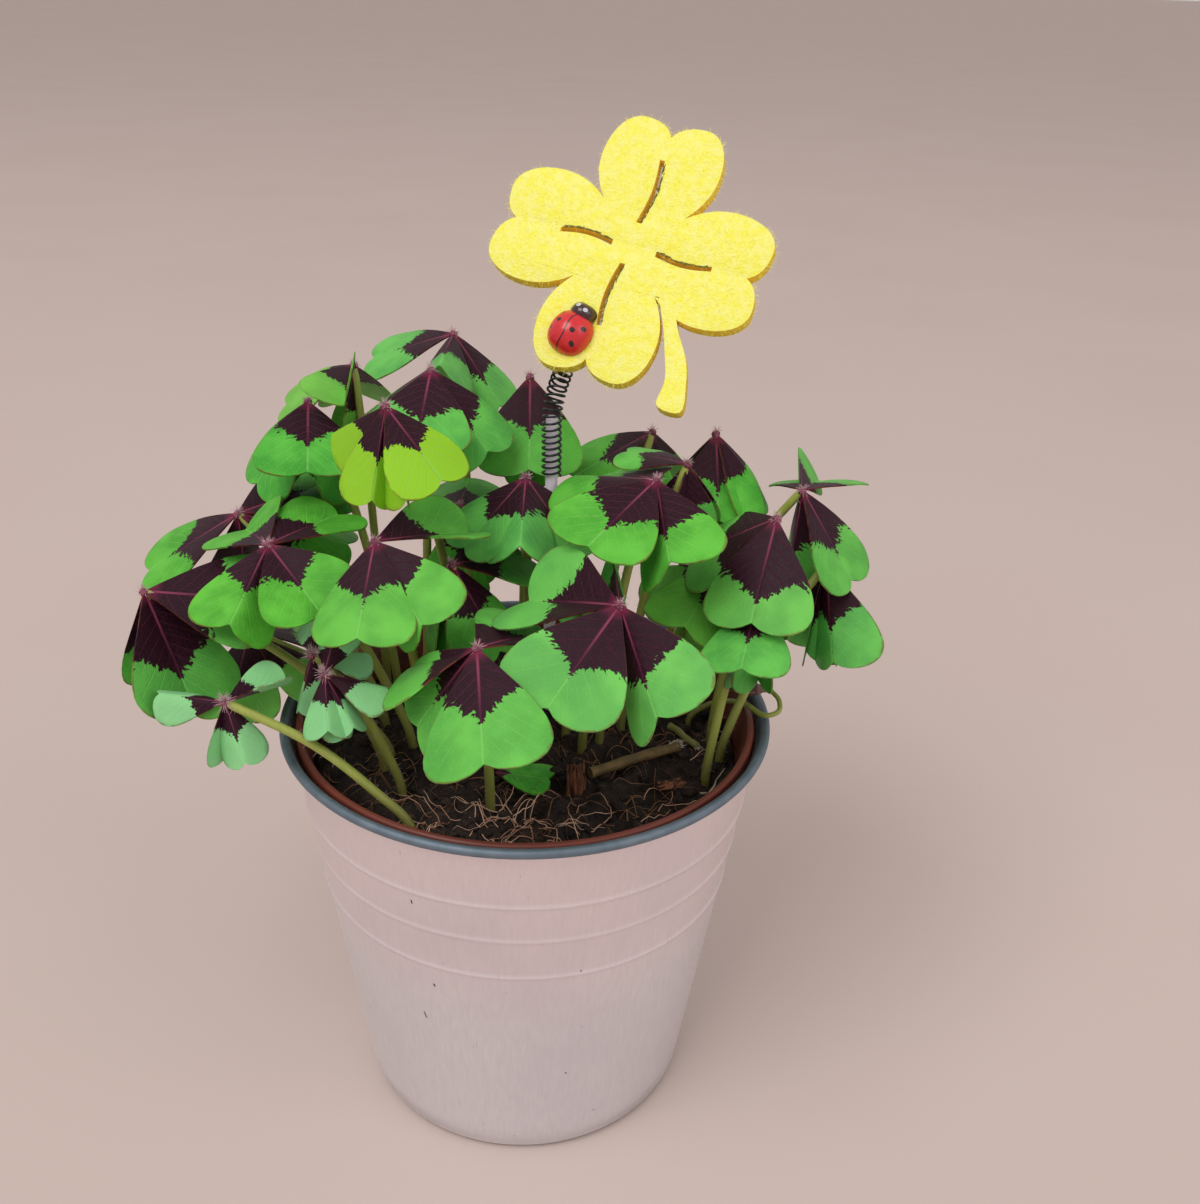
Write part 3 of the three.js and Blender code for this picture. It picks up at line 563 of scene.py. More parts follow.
# Leaves: each grows from the soil on its own hairy stalk, and carries four heart-shaped leaflets
# that hang or fold from its hub. The middle of the leaflets is purple-brown, with a ragged edge.
# One leaf: its hub, its foot in the soil, its leaflet length, and four leaflets as
# (bearing, slope, roll, fold): degrees counter-clockwise from +X, degrees above level,
# degrees that its left side is lifted, and degrees that each half hangs below the midrib.
LEAVES = [
    ((-80, -14, 132), (-31, -8), 28,
     ((4, -4, 21, 0), (80, -60, 0, 50), (250, -78, 0, 45), (316, -52, -16, -8))),
    ((-67.6, 16, 138), (-35, 9), 27.5,
     ((2, -15, 3, 15), (48, 3, 10, 2), (186, -32, -12, 5), (300, -82, 0, 50))),
    ((-54, -10, 142), (-26, -6), 22,
     ((56, 2, 4, -8), (120, -10, -26, -16), (257, -28, -30, 32), (314, -24, 18, -12))),
    ((-43, 36, 168), (-37, 26), 22,
     ((20, -80, 0, 50), (98, -34, 0, 25), (171, -31, -18, 5), (273, -8, 28, -48))),
    ((-51.6, 24.5, 162.5), (-33, 19), 24,
     ((10, -58, 0, 50), (115, -62, 0, 45), (205, -52, -10, 8), (280, -24, -2, 0))),
    ((-28, -10, 173), (-16, 18), 20.5,
     ((326, -40, 12, 12), (298, -52, 0, 76), (142, -28, 0, 78), (256, -64, -28, 50))),
    ((-22.8, 20, 172), (-26, 21), 23.5,
     ((330, -46, 30, 28), (85, -78, 0, 50), (146, -32, -14, 5), (267, -28, -4, 5))),
    ((-22, 56, 171), (-15, 34), 23.5,
     ((320, -40, 0, 16), (80, -45, 0, 25), (172, -18, -14, 5), (268, -4, 0, 50))),
    ((-2, 38, 166), (-3, 27), 25.5,
     ((0, -80, 0, 45), (90, -50, 0, 25), (185, -80, 0, 45), (273, -45, 0, 5))),
    ((27.5, 42, 152), (16, 28), 24.8,
     ((10, -80, 0, 50), (95, -40, 0, 20), (175, -32, -18, 5), (275, -80, 0, 50))),
    ((34.3, 10, 155.6), (22, 6), 16,
     ((345, -80, 0, 32), (70, -70, 0, 10), (152, 1, 0, 10), (255, -78, 0, 10))),
    ((27.2, -1, 155.7), (17, -1), 25.2,
     ((276, -22, 40, 30), (113, -14, -12, 10), (141, -10, 0, 28), (231, -20, -10, -4))),
    ((42, 31, 155.7), (33, 28), 23,
     ((335, -54, -5, 5), (80, -50, 0, 25), (180, -82, 0, 50), (273, -48, 0, 8))),
    ((61, 16, 148), (38, 21), 25,
     ((70, -12, -9, 3), (86, 7, -20, 76), (225, -85, 0, 50), (328, -52, 0, 0))),
    ((53, -4, 149), (43, 2), 25.5,
     ((40, -74, 30, 10), (20, -86, 0, 10), (144, -33, -27, 12), (250, -44, 6, 10))),
    ((67.3, 10, 132.7), (45, -5), 24,
     ((40, -75, 0, 45), (115, -80, 0, 50), (200, -82, 0, 50), (276, -58, 50, 36))),
    ((44, 8, 133), (30, 8), 23,
     ((330, -80, 0, 50), (90, -82, 0, 20), (138, -20, 0, 35), (243, -18, -20, 18))),
    ((49.5, -10, 132.7), (41, -14), 20.1,
     ((330, -82, 0, 10), (20, -84, 0, 5), (140, -82, 0, 10), (256, -24, 5, 10))),
    ((20, -34, 142), (13, -4), 27,
     ((288, -29, 60, 26), (94, 2, 0, 74), (141, -15, -26, -20), (233, -30, -13, -5))),
    ((8.9, 7, 138.7), (9, 3), 20,
     ((15, -80, 0, 8), (150, -82, 0, 10), (250, -75, 0, 35), (330, -70, 0, 10))),
    ((-7, -42, 136), (-6, -29), 26.5,
     ((60, -14, 0, -10), (135, -30, 10, 40), (163, -56, -50, 8), (278, -29, 22, 12))),
    ((-30, -18, 147), (-23, -3), 23.5,
     ((36, -6, 5, -22), (85, -40, 0, 40), (266, -36, 9, 13), (306, -30, 56, 30))),
    ((-64, 4, 114), (-34, 3), 22,
     ((350, -20, 0, 30), (60, -20, 0, 20), (150, -60, 0, 20), (265, -35, 0, 20))),
    ((-17.2, 20, 139.8), (-12, 14), 22,
     ((318, -80, 0, 50), (90, 0, 0, 20), (175, -86, 0, 55), (285, -84, 0, 55))),
    ((-1, 8, 152), (-1, 20), 22,
     ((332, -47, -2, 0), (115, -50, 0, 0), (215, -39, 0, 0), (270, -22, 0, 42))),
    ((-16, -6, 137), (-12, -6), 23,
     ((325, -50, 0, 15), (47, -11, 15, 5), (165, -78, 0, 15), (262, -75, 0, 50))),
    ((-39.8, -28, 121.3), (-26, -23), 14,
     ((82, 40, 0, 45), (0, -10, 0, 45), (283, -30, 0, 42), (312, -35, 0, 45))),
    ((-43.5, -22, 122.6), (-31, -15), 13,
     ((95, 18, 0, 45), (30, -10, 0, 45), (145, -70, 0, 40), (245, -60, 0, 55))),
    ((-58.9, -34, 117.5), (-22, -37), 14,
     ((182, 8, -25, 50), (38, 2, -5, -38), (310, -60, 30, 45), (110, -80, 0, 45))),
]
YOUNG_FROM = 26
# Painted light: how strongly some leaves are painted as lit from behind, in a bright yellow-green; the
# others get a little at random.
BACKLIT = {5: 0.9, 3: 0.35, 22: 0.3, 16: 0.2}
# How far the mark reaches at the margin, as a share of the length of a leaf's leaflets
MARKS = (0.52, 0.44, 0.38, 0.38, 0.38, 0.36, 0.44, 0.4, 0.4, 0.36, 0.52, 0.46, 0.4, 0.45, 0.54,
         0.4, 0.36, 0.36, 0.45, 0.45, 0.38, 0.38, 0.45, 0.36, 0.36, 0.4, 0.36, 0.34, 0.34)
BLADE = 0.36
ROOT_DEPTH = 9
HUB_CAP = 1.2
HUB_HAIRS = 40
YOUNG_HAIRS = 110
STALK_HAIRS = 90

# Half of a leaflet's outline for a length of 1, from the hub round its lobe to the notch.
OUTLINE = [(0, 0), (0.04, 0.035), (0.27, 0.215), (0.5, 0.385), (0.66, 0.462), (0.8, 0.483),
           (0.915, 0.43), (0.98, 0.32), (1, 0.2), (0.982, 0.09), (0.93, 0)]
NOTCH = 0.93
LEAFLET_ROWS = 22
LEAFLET_COLUMNS = 14


def smooth_line(points, steps):
    """Points along the smooth line that passes through some, closer together where they are."""
    points = [Vector(point).resized(3) if len(point) < 3 else Vector(point) for point in points]
    first = points[0] * 2 - points[1]
    last = points[-1] * 2 - points[-2]
    ringed = [first, *points, last]
    line = []
    for i in range(steps + 1):
        place = (len(points) - 1) * i / steps
        index = min(int(place), len(points) - 2)
        before, start, end, after = ringed[index:index + 4]
        share = place - index
        pairs = ((before, start), (start, end), (end, after))
        one, two, three = (max((b - a).length ** 0.5, 1e-6) for a, b in pairs)
        middle = (end - start) / two
        leave = ((start - before) / one - (end - before) / (one + two) + middle) * two
        arrive = (middle - (after - start) / (two + three) + (after - end) / three) * two
        s2, s3 = share * share, share ** 3
        spot = start * (2 * s3 - 3 * s2 + 1) + end * (3 * s2 - 2 * s3)
        line.append(spot + leave * (s3 - 2 * s2 + share) + arrive * (s3 - s2))
    return line


# One flat leaflet of length 1: a grid drawn into the heart's outline, then given an underside.
bpy.ops.object.select_all(action="DESELECT")
bpy.ops.mesh.primitive_grid_add(
    x_subdivisions=LEAFLET_ROWS, y_subdivisions=LEAFLET_COLUMNS, size=2, location=(0, 0, 0),
)
leaflet_start = bpy.context.object
leaflet_start.name = "leaflet_start"
rim_line = smooth_line(OUTLINE, 200)
rows = leaflet_start.data.attributes.new("rows", "FLOAT_VECTOR", "POINT")
for i, vertex in enumerate(leaflet_start.data.vertices):
    along, across = (vertex.co.x + 1) / 2, vertex.co.y
    eased = along ** 0.85
    rim = rim_line[round(eased * 200)]
    middle = Vector((NOTCH * along, 0, 0))
    spot = middle.lerp(rim, abs(across))
    rows.data[i].vector = (along, across, 0)
    vertex.co = (spot.x, spot.y * (1 if across > 0 else -1), 0)
shell = leaflet_start.modifiers.new("underside", "SOLIDIFY")
shell.thickness = 1
shell.offset = -1
shell.material_offset = 1
for slot in range(2):
    leaflet_start.data.materials.append(bpy.data.materials.new(f"side_{slot}"))
cleaned(leaflet_start, 0.0001)
if leaflet_start.data.polygons[0].normal.z < 0:
    leaflet_start.data.flip_normals()
bpy.ops.object.modifier_apply(modifier="underside")
flat_leaflet = np.array([vertex.co for vertex in leaflet_start.data.vertices])


def blade_matrix(bearing, slope, roll, hub):
    """Turn and tilt of a leaflet: X along its midrib, Y to its left, Z out of its face."""
    return (
        Matrix.Translation(hub)
        @ Matrix.Rotation(radians(bearing), 4, "Z")
        @ Matrix.Rotation(-radians(slope), 4, "Y")
        @ Matrix.Rotation(radians(roll), 4, "X")
    )


def keep(mesh, name, vectors):
    """Stores a vector for each point of a mesh, which its material reads."""
    stored = mesh.attributes.new(name, "FLOAT_VECTOR", "POINT")
    stored.data.foreach_set("vector", vectors.astype(np.float32).ravel())


def leaflet(name, size, blade, hub, dice, age, glow, mark):
    """A leaflet in its place, folded along its midrib, a little arched and waved."""
    bearing, slope, roll, fold = blade
    mesh = leaflet_start.data.copy()
    along, across = flat_leaflet[:, 0], flat_leaflet[:, 1]
    side = np.abs(across) * size
    turned = radians(fold)
    crease = np.sqrt(side ** 2 + 0.36) - 0.6
    arch = 0.3 * size * np.abs(across) * (0.5 - np.abs(across))
    sweep = dice.uniform(-0.02, 0.02) * size * across * along
    wave = dice.uniform(0.004, 0.012) * size * (np.abs(across) / 0.45) ** 2
    wave = wave * np.sin(dice.uniform(7, 11) * along + dice.uniform(0, 6) + np.sign(across))
    droop = dice.uniform(0.01, 0.05) * size * along ** 2
    level = -sin(turned) * crease + arch + wave - droop
    level = level - BLADE * (flat_leaflet[:, 2] < -0.5)
    placed = np.stack([size * along, size * across * cos(turned) + sweep, level, np.ones(len(level))])
    moved = (np.array(blade_matrix(bearing, slope, roll, hub)) @ placed)[:3].T * MM
    mesh.vertices.foreach_set("co", moved.ravel())
    seed = np.full(len(along), dice.uniform(0, 40))
    keep(mesh, "flat", np.stack([along, across, seed], 1))
    keep(mesh, "kind", np.tile([age, glow, mark], len(along)))
    return added(name, mesh)


def petiole_line(hub, foot):
    """The stalk: straight up out of the soil, then bending out and a little past the hub."""
    soil = soil_top(*foot)
    hub = Vector(hub)

    def lean(share, lift):
        return Vector((
            foot[0] + (hub.x - foot[0]) * share, foot[1] + (hub.y - foot[1]) * share,
            soil + (hub.z - soil) * lift,
        ))

    bend = lean(0.52, 0.7)
    tip = hub + (hub - bend).normalized() * HUB_CAP * 0.4
    ground = [Vector((*foot, soil - ROOT_DEPTH)), Vector((*foot, soil + 2))]
    return smooth_line([*ground, lean(0.18, 0.33), bend, tip], 32)


def outward(dice):
    """A random direction."""
    direction = Vector((dice.gauss(0, 1), dice.gauss(0, 1), dice.gauss(0, 1)))
    return direction.normalized()


# The upper side: fresh green with paler veins that leave the midrib like a feather's, a fine
# reddish margin, and the purple-brown mark with teeth along the veins and a point on the midrib.
def blade_look(name, green, bright, dull, mark_dark, mark_light, softness, vein_depth):
    look = Look(name, Specular_IOR_Level=0.2)
    flat = look.stored("flat")
    rows_of = look.stored("rows")
    kind_of = look.stored("kind")
    along, across = flat.part("X"), flat.part("Y").math("ABSOLUTE")
    row, out = rows_of.part("X"), rows_of.part("Y").math("ABSOLUTE")
    age, glow, mark = kind_of.part("X"), kind_of.part("Y"), kind_of.part("Z")
    ragged = look.grain(flat, 9, 4)
    broad = look.grain(flat, 3, 2)
    teeth = (row * 10 + ragged * 4).math("PINGPONG", 0.5)
    fine_teeth = (row * 34 + ragged * 6).math("PINGPONG", 0.5)
    edge = mark + teeth * 0.12 + fine_teeth * 0.05 + ragged * 0.14 + broad * 0.2 - 0.2
    edge = edge + (1 - across.step(0.0, 0.34)) * 0.15 + (1 - across.step(0.0, 0.05)) * 0.08
    marked = (edge - along).step(-softness, softness)
    branch = (row * 10.5 + broad * 0.6).math("PINGPONG", 0.5)
    veins = (1 - branch.step(0.0, 0.07)) * out.step(1.02, 0.5)
    cells = {"feature": "DISTANCE_TO_EDGE"}
    net = look.node("ShaderNodeTexVoronoi", cells, {"Vector": flat, "Scale": 26})
    meshwork = 1 - net.step(0.0, 0.09)
    midrib = 1 - across.step(0.003, 0.016)
    leafy = look.blend(broad.step(0.3, 0.7), green, bright)
    # Painted backlight: leaflets lit from behind are painted yellow-green.
    leafy = look.blend(glow, leafy, shade(150, 205, 22))
    leafy = look.blend(age, leafy, shade(164, 228, 176))
    leafy = look.blend(veins * 0.45 + meshwork * 0.16 + midrib * 0.4, leafy, dull)
    pigment = look.blend(veins * 0.5 + meshwork * 0.25 + midrib * 0.5, mark_dark, mark_light)
    pigment = look.blend(midrib * along.step(0.6, 0.1) * 0.8, pigment, shade(150, 66, 96))
    pigment = look.blend((along + ragged * 0.1).step(0.2, 0.05), pigment, shade(124, 36, 70))
    skin = look.blend(marked, leafy, pigment)
    margin = out.step(0.965, 0.99) * ragged.step(0.35, 0.6)
    look.wear(
        Base_Color=look.blend(margin * 0.6, skin, shade(118, 62, 38)),
        Roughness=0.42 + ragged * 0.16 + meshwork * 0.06,
    )
    height = 1 - veins * vein_depth - midrib * vein_depth - meshwork * 0.2 * vein_depth + ragged * 0.5
    look.relief(height, 0.35, 0.0004)
    return look


upper = blade_look("leaf_face", shade(58, 158, 42), shade(92, 194, 62), shade(136, 212, 104),
                   shade(38, 8, 24), shade(88, 30, 58), 0.012, 1)
under = blade_look("leaf_underside", shade(104, 162, 74), shade(130, 188, 98), shade(164, 208, 134),
                   shade(84, 62, 64), shade(112, 84, 84), 0.03, -1)

stalk = Look("stalk")
stalk_place = stalk.place()
stalk_streak = stalk.grain(stalk.stretched(stalk_place, (900, 900, 60)), 1)
stalk_up = stalk_place.part("Z")
olive = stalk.blend(stalk_streak, shade(138, 150, 58), shade(166, 176, 88))
olive = stalk.blend(stalk_up.step(0.104, 0.088), olive, shade(118, 116, 58))
olive = stalk.blend(stalk.grain(stalk_place, 40).step(0.55, 0.75) * 0.4, olive, shade(140, 112, 70))
stalk.wear(Base_Color=olive, Roughness=0.38 + stalk_streak * 0.2)
stalk.relief(stalk_streak, 0.3, 0.0003)

hair = mottled("leaf_hair", 300, shade(222, 196, 202), shade(178, 132, 148), (0.35, 0.2))
heart = mottled("hub_flesh", 700, shade(96, 32, 58), shade(148, 80, 102), (0.4, 0.3),
                (0.3, 0.7), (0.5, 0.0004))


def leaf(name, index, dice):
    """A whole leaf as one mesh: four leaflets, the knob of its hub, its stalk and its hairs."""
    hub, foot, size, blades = LEAVES[index]
    young = index >= YOUNG_FROM
    age = dice.uniform(0.55, 0.85) if young else dice.uniform(0, 0.16)
    glow = BACKLIT.get(index, dice.uniform(0, 0.12))
    mark = MARKS[index]
    parts = []
    for number, blade in enumerate(blades):
        part = leaflet(f"{name}_{number}", size, blade, Vector(hub), dice, age, glow, mark)
        part.data.materials.clear()
        for look in (upper, under):
            part.data.materials.append(look.material)
        parts.append(part)
    line = petiole_line(hub, foot)
    radii = [0.95 + 0.15 * (1 - i / 32) for i in range(32)] + [0.5]
    stem = strands(f"{name}_stem", [list(zip(line, radii))], 3)
    stem.data.materials.append(stalk.material)
    bpy.ops.object.select_all(action="DESELECT")
    knob_place = (Vector(hub) - Vector((0, 0, 0.3))) * MM
    bpy.ops.mesh.primitive_ico_sphere_add(subdivisions=3, radius=MM, location=knob_place)
    knob = bpy.context.object
    for vertex in knob.data.vertices:
        vertex.co *= 1 + 0.25 * noise.noise(vertex.co * 1400 + Vector(hub))
    knob.data.materials.append(heart.material)
    hairs = []
    for _ in range(YOUNG_HAIRS if young else HUB_HAIRS):
        way = (outward(dice) + Vector((0, 0, 0.5))).normalized()
        root_end = Vector(hub) + way * 0.7
        tip = root_end + way * dice.uniform(0.6, 2 if young else 1.4) + outward(dice) * 0.3
        middle = root_end.lerp(tip, 0.5) + outward(dice) * 0.12
        hairs.append([(root_end, 0.06), (middle, 0.045), (tip, 0.02)])
    for _ in range(STALK_HAIRS):
        share = dice.uniform(0.25, 0.97)
        spot = line[int(share * 32)].lerp(line[min(32, int(share * 32) + 1)], share * 32 % 1)
        way = outward(dice)
        hairs.append([(spot + way * 0.8, 0.045), (spot + way * dice.uniform(1.5, 2.1), 0.015)])
    fuzz = strands(f"{name}_hairs", hairs)
    fuzz.data.materials.append(hair.material)
    bpy.ops.object.select_all(action="DESELECT")
    for part in (*parts, stem, knob, fuzz):
        part.select_set(True)
    bpy.context.view_layer.objects.active = parts[0]
    bpy.ops.object.join()
    whole = bpy.context.object
    whole.name = name
    return whole


leaf_dice = Random(27)
grown = [leaf(f"leaf_{i + 1:02d}_grown", i, leaf_dice) for i in range(len(LEAVES))]
for i, piece in enumerate(grown[:YOUNG_FROM]):
    settled(piece, [f"leaf_{i + 1:02d}"], [], 50)
only(grown[YOUNG_FROM])
grown[YOUNG_FROM + 1].select_set(True)
bpy.ops.object.join()
tuft = bpy.context.object
tuft.name = "young_tuft_grown"
settled(tuft, ["young_tuft"], [], 50)
last_leaf = grown[YOUNG_FROM + 2]
last_leaf.name = "young_leaf_grown"
settled(last_leaf, ["young_leaf"], [], 50)


# Litter on the soil: a shed leaflet, a cut stalk with a frayed end, a shorter cut one, a stub of
# bark that stands in the soil and a chip of bark. A withered leaf curls out over the lip.
FALLEN_LEAFLET = {"place": (-6, -17), "size": 13, "turn": -10}
CUT_STEM = {"from": (15.1, -16.2), "to": (35.1, -3.6), "radius": 1.3}
CUT_PETIOLE = {"from": (33.5, 5.2), "to": (39.5, -3), "radius": 0.9}
BARK_STUB = {"place": (12, -19.5), "radius": 2.3, "height": 7, "sunk": 3}
BARK_CHIP = {"place": (32.9, -19), "size": (7, 3.2, 1.2), "turn": 25}
WITHERED_STALK = [(38.6, 9.4, 84), (38.6, 9.4, 91.5), (44, 8, 96.5), (50, 1.5, 100.3),
                  (54.4, -5.4, 101.3), (57.4, -4.6, 102), (57.8, -1, 103), (56.4, 1.8, 103.6)]
WITHERED_BLADES = [(176, 26, 20, 55), (140, 8, 0, 60)]
WITHERED_SIZE = 8

litter_dice = Random(8)
fallen_hub = Vector((*FALLEN_LEAFLET["place"], soil_top(*FALLEN_LEAFLET["place"]) + 2.7))
fallen = leaflet("fallen_leaflet_grown", FALLEN_LEAFLET["size"], (FALLEN_LEAFLET["turn"], 2, 0, 4),
                 fallen_hub, litter_dice, 0, 0, 0.05)
settled(fallen, ["fallen_leaflet"], [upper, under], 50)


def lying_stalk(name, about, look, end_look, node, frayed):
    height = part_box(node)[1].z / MM - about["radius"]
    start, end = (Vector((*about[key], height)) for key in ("from", "to"))
    line = []
    for i in range(25):
        share = i / 24
        sag = Vector((0.25 * sin(7 * share), 0.25 * sin(5 * share), 0))
        line.append((start.lerp(end, share) + sag, about["radius"] * (1 - 0.12 * sin(9 * share) ** 2)))
    piece = strands(name, [line], 4)
    piece.data.materials.append(look.material)
    way = (end - start).normalized()
    wisps = []
    for _ in range(frayed):
        base = end + outward(litter_dice) * about["radius"] * 0.8 - way * litter_dice.uniform(0, 2.5)
        tip = base + way * litter_dice.uniform(0.5, 2.4) + outward(litter_dice) * 0.7
        wisps.append([(base, 0.16), (base.lerp(tip, 0.5), 0.12), (tip, 0.05)])
    ends = strands(f"{name}_end", wisps)
    ends.data.materials.append(end_look.material)
    only(piece)
    ends.select_set(True)
    bpy.ops.object.join()
    settled(piece, [node], [], 60)


old_stalk = mottled("old_stalk", (300, 300, 500), shade(92, 78, 42), shade(130, 104, 66), (0.5, 0.3),
                    (0.3, 0.7), (0.4, 0.0004))
torn = mottled("torn_pith", 500, shade(214, 206, 198), shade(150, 132, 116), (0.7, 0.2))
lying_stalk("cut_stem_lying", CUT_STEM, old_stalk, torn, "cut_stem", 60)
lying_stalk("cut_petiole_lying", CUT_PETIOLE, stalk, torn, "cut_petiole", 26)

bark = mottled("bark", (900, 900, 160), shade(58, 32, 24), shade(150, 96, 66), (0.8, 0.2),
               (0.35, 0.68), (1.0, 0.001), 5)

stub_x, stub_y = BARK_STUB["place"]
stub_foot = soil_top(stub_x, stub_y) - BARK_STUB["sunk"]
splints = []
for _ in range(64):
    turn = litter_dice.uniform(0, 2 * pi)
    reach = BARK_STUB["radius"] * litter_dice.random() ** 0.5 * 0.84
    x, y = stub_x + reach * cos(turn), stub_y + reach * sin(turn)
    top = BARK_STUB["height"] + BARK_STUB["sunk"] - litter_dice.uniform(0, 3.2)
    lean = Vector((litter_dice.uniform(-0.5, 0.5), litter_dice.uniform(-0.5, 0.5), top))
    foot = Vector((x, y, stub_foot))
    taper = ((0, 0.42), (0.5, 0.4), (0.85, 0.3), (1, 0.1))
    splints.append([(foot + lean * share, radius) for share, radius in taper])
stub = strands("bark_stub_grown", splints)
settled(stub, ["bark_stub"], [bark], 60)

chip_low, chip_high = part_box("bark_chip")
chip_height = (chip_low.z + chip_high.z) / 2 / MM
slivers = []
for _ in range(40):
    length, width, thick = BARK_CHIP["size"]
    turn = radians(BARK_CHIP["turn"])
    u = litter_dice.uniform(-0.5, 0.1) * length
    v = litter_dice.uniform(-0.5, 0.5) * width * 0.85
    w = litter_dice.uniform(-0.4, 0.4) * thick
    reach = litter_dice.uniform(0.35, 0.5) * length
    spots = []
    for share, radius in ((0, 0.12), (0.3, 0.36), (0.7, 0.34), (1, 0.1)):
        along = min(u + reach * share, length / 2)
        spot = (BARK_CHIP["place"][0] + along * cos(turn) - v * sin(turn),
                BARK_CHIP["place"][1] + along * sin(turn) + v * cos(turn), chip_height + w)
        spots.append((spot, radius))
    slivers.append(spots)
chip = strands("bark_chip_grown", slivers)
settled(chip, ["bark_chip"], [bark], 60)

limp = mottled("withered_skin", 500, shade(78, 36, 44), shade(134, 108, 96), (0.6, 0.3),
               (0.35, 0.65), (0.8, 0.0006), 5)
limp_line = smooth_line(WITHERED_STALK, 44)
limp_strand = [(point, 0.7 - 0.15 * i / 44) for i, point in enumerate(limp_line)]
withered = strands("withered_leaf_grown", [limp_strand], 3)
withered.data.materials.append(stalk.material)
limp_parts = []
for number, blade in enumerate(WITHERED_BLADES):
    part = leaflet(f"withered_{number}", WITHERED_SIZE, blade, Vector(WITHERED_STALK[-1]),
                   litter_dice, 0, 0, 0.6)
    for vertex in part.data.vertices:
        vertex.co += noise.noise_vector(vertex.co * 420) * 0.0006
    part.data.materials.clear()
    part.data.materials.append(limp.material)
    part.data.materials.append(limp.material)
    limp_parts.append(part)
only(withered)
for part in limp_parts:
    part.select_set(True)
bpy.ops.object.join()
settled(withered, ["withered_leaf"], [], 60)


# Pick: a white lacquered rod stands in the soil. A black wire spring is pushed over its top
# and bends back to the felt clover, glued behind its lower lobe.
rod_low, rod_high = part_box("pick_rod")
rod_centre = (rod_low + rod_high) / 2
rod_radius = (rod_high.x - rod_low.x) / 2 / MM
rod_length = (rod_high.z - rod_low.z) / MM
rod_profile = [(0, 0), (rod_radius, 0), (rod_radius, rod_length - 0.5)]
rod_profile += [(rod_radius - 0.4, rod_length), (0, rod_length)]
rod = spun("rod", rod_profile, 32)
rod.data.transform(Matrix.Translation((rod_centre.x, rod_centre.y, rod_low.z)))
rod_paint = mottled("white_paint", (700, 700, 60), shade(226, 220, 230), shade(200, 192, 204), (0.38, 0.2),
                    bump=(0.2, 0.0003))
settled(rod, ["pick_rod"], [rod_paint], 50)

SPRING_LINE = [(4.3, 15, 149.9), (4.3, 15, 157), (4.3, 15, 164.4),
               (5.1, 16.4, 169), (6.6, 21, 173), (8.2, 26.6, 178.6)]
COIL_RADIUS = 2.05
COIL_PITCH = 1.45
WIRE_RADIUS = 0.27
TURN_POINTS = 18
spring_core = smooth_line(SPRING_LINE, 400)
spans = [0]
for before, after in zip(spring_core, spring_core[1:]):
    spans.append(spans[-1] + (after - before).length)
turns = spans[-1] / COIL_PITCH
wire_line = []
for i in range(int(turns * TURN_POINTS) + 1):
    reach = COIL_PITCH * i / TURN_POINTS
    index = min(int(np.searchsorted(spans, reach)), len(spring_core) - 1)
    way = (spring_core[index] - spring_core[index - 1 if index else 0]) if index else Vector((0, 0, 1))
    way.normalize()
    share = 0 if index == 0 else (reach - spans[index - 1]) / (spans[index] - spans[index - 1])
    centre = spring_core[max(index - 1, 0)].lerp(spring_core[index], share)
    across = (Vector((1, 0, 0)) - way * way.x).normalized()
    back = way.cross(across)
    turn = 2 * pi * i / TURN_POINTS
    spot = centre + across * COIL_RADIUS * cos(turn) + back * COIL_RADIUS * sin(turn)
    wire_line.append((spot, WIRE_RADIUS))
spring = strands("spring", [wire_line], 2)
wire = mottled("black_wire", 900, shade(16, 17, 20), shade(44, 46, 52), (0.22, 0.2), Metallic=0.4)
settled(spring, ["pick_spring"], [wire], 60)


# Felt clover: cut from 3 mm lemon yellow felt, four hearts and a curved stem in one piece, with a
# slit cut along the middle of each heart. The cut edges are more orange and all of it is fuzzy.
FELT_CENTRE = Vector((20, 30, 198))
FELT_TURN = radians(13)
FELT_LIFT = radians(37)
FELT_SPIN = radians(-11)
FELT_THICKNESS = 3
HEART_CORNER = (9.6, 9.6)
HEART_HALF = [
    ((12.8, 13.5), (13.8, 17), (13.8, 20.5)),
    ((13.8, 26.5), (11, 30.8), (7.2, 30.8)),
    ((4, 30.8), (1.2, 29.8), (0, 27.2)),
]
FELT_STEM = [(7.5, -8), (10.5, -18), (11.7, -23.5), (12.7, -30), (11.8, -35.5),
             (17.1, -36.6), (17.4, -30), (16.6, -25), (13.9, -18.5), (10, -8)]
FELT_SLITS = [(6, 21.5), (6.3, 19.2), (4, 19), (4, 16.3)]
SLIT_WIDTH = 1.15
SLIT_BOW = 0.9

felt_face = Vector((-sin(FELT_TURN) * cos(FELT_LIFT), -cos(FELT_TURN) * cos(FELT_LIFT), sin(FELT_LIFT)))
felt_right = Vector((cos(FELT_TURN), -sin(FELT_TURN), 0))
felt_up = felt_face.cross(felt_right)
felt_axes = Matrix((felt_right, felt_up, felt_face)).transposed().to_4x4()
pick_frame = Matrix.Translation(FELT_CENTRE) @ felt_axes
felt_frame = pick_frame @ Matrix.Rotation(FELT_SPIN, 4, "Z")


def heart_points():
    """Half a heart from the inner corner to the notch."""
    points, start = [], Vector(HEART_CORNER)
    for first, second, end in HEART_HALF:
        for i in range(8):
            t = i / 8
            point = start * (1 - t) ** 3 + Vector(first) * 3 * t * (1 - t) ** 2
            points.append(point + Vector(second) * 3 * t * t * (1 - t) + Vector(end) * t ** 3)
        start = Vector(end)
    return [*points, start]


def flat_slab(name, outlines, thickness):
    """A flat plate with square edges from closed outlines; those inside the first are holes."""
    data = bpy.data.curves.new(name, "CURVE")
    data.dimensions = "2D"
    data.fill_mode = "BOTH"
    data.extrude = thickness / 2 * MM
    for outline in outlines:
        spline = data.splines.new("POLY")
        spline.points.add(len(outline) - 1)
        spline.points.foreach_set("co", [value for x, y in outline for value in (x * MM, y * MM, 0, 1)])
        spline.use_cyclic_u = True
    only(added(name, data))
    bpy.ops.object.convert(target="MESH")
    return cleaned(bpy.context.object, 0.000005)


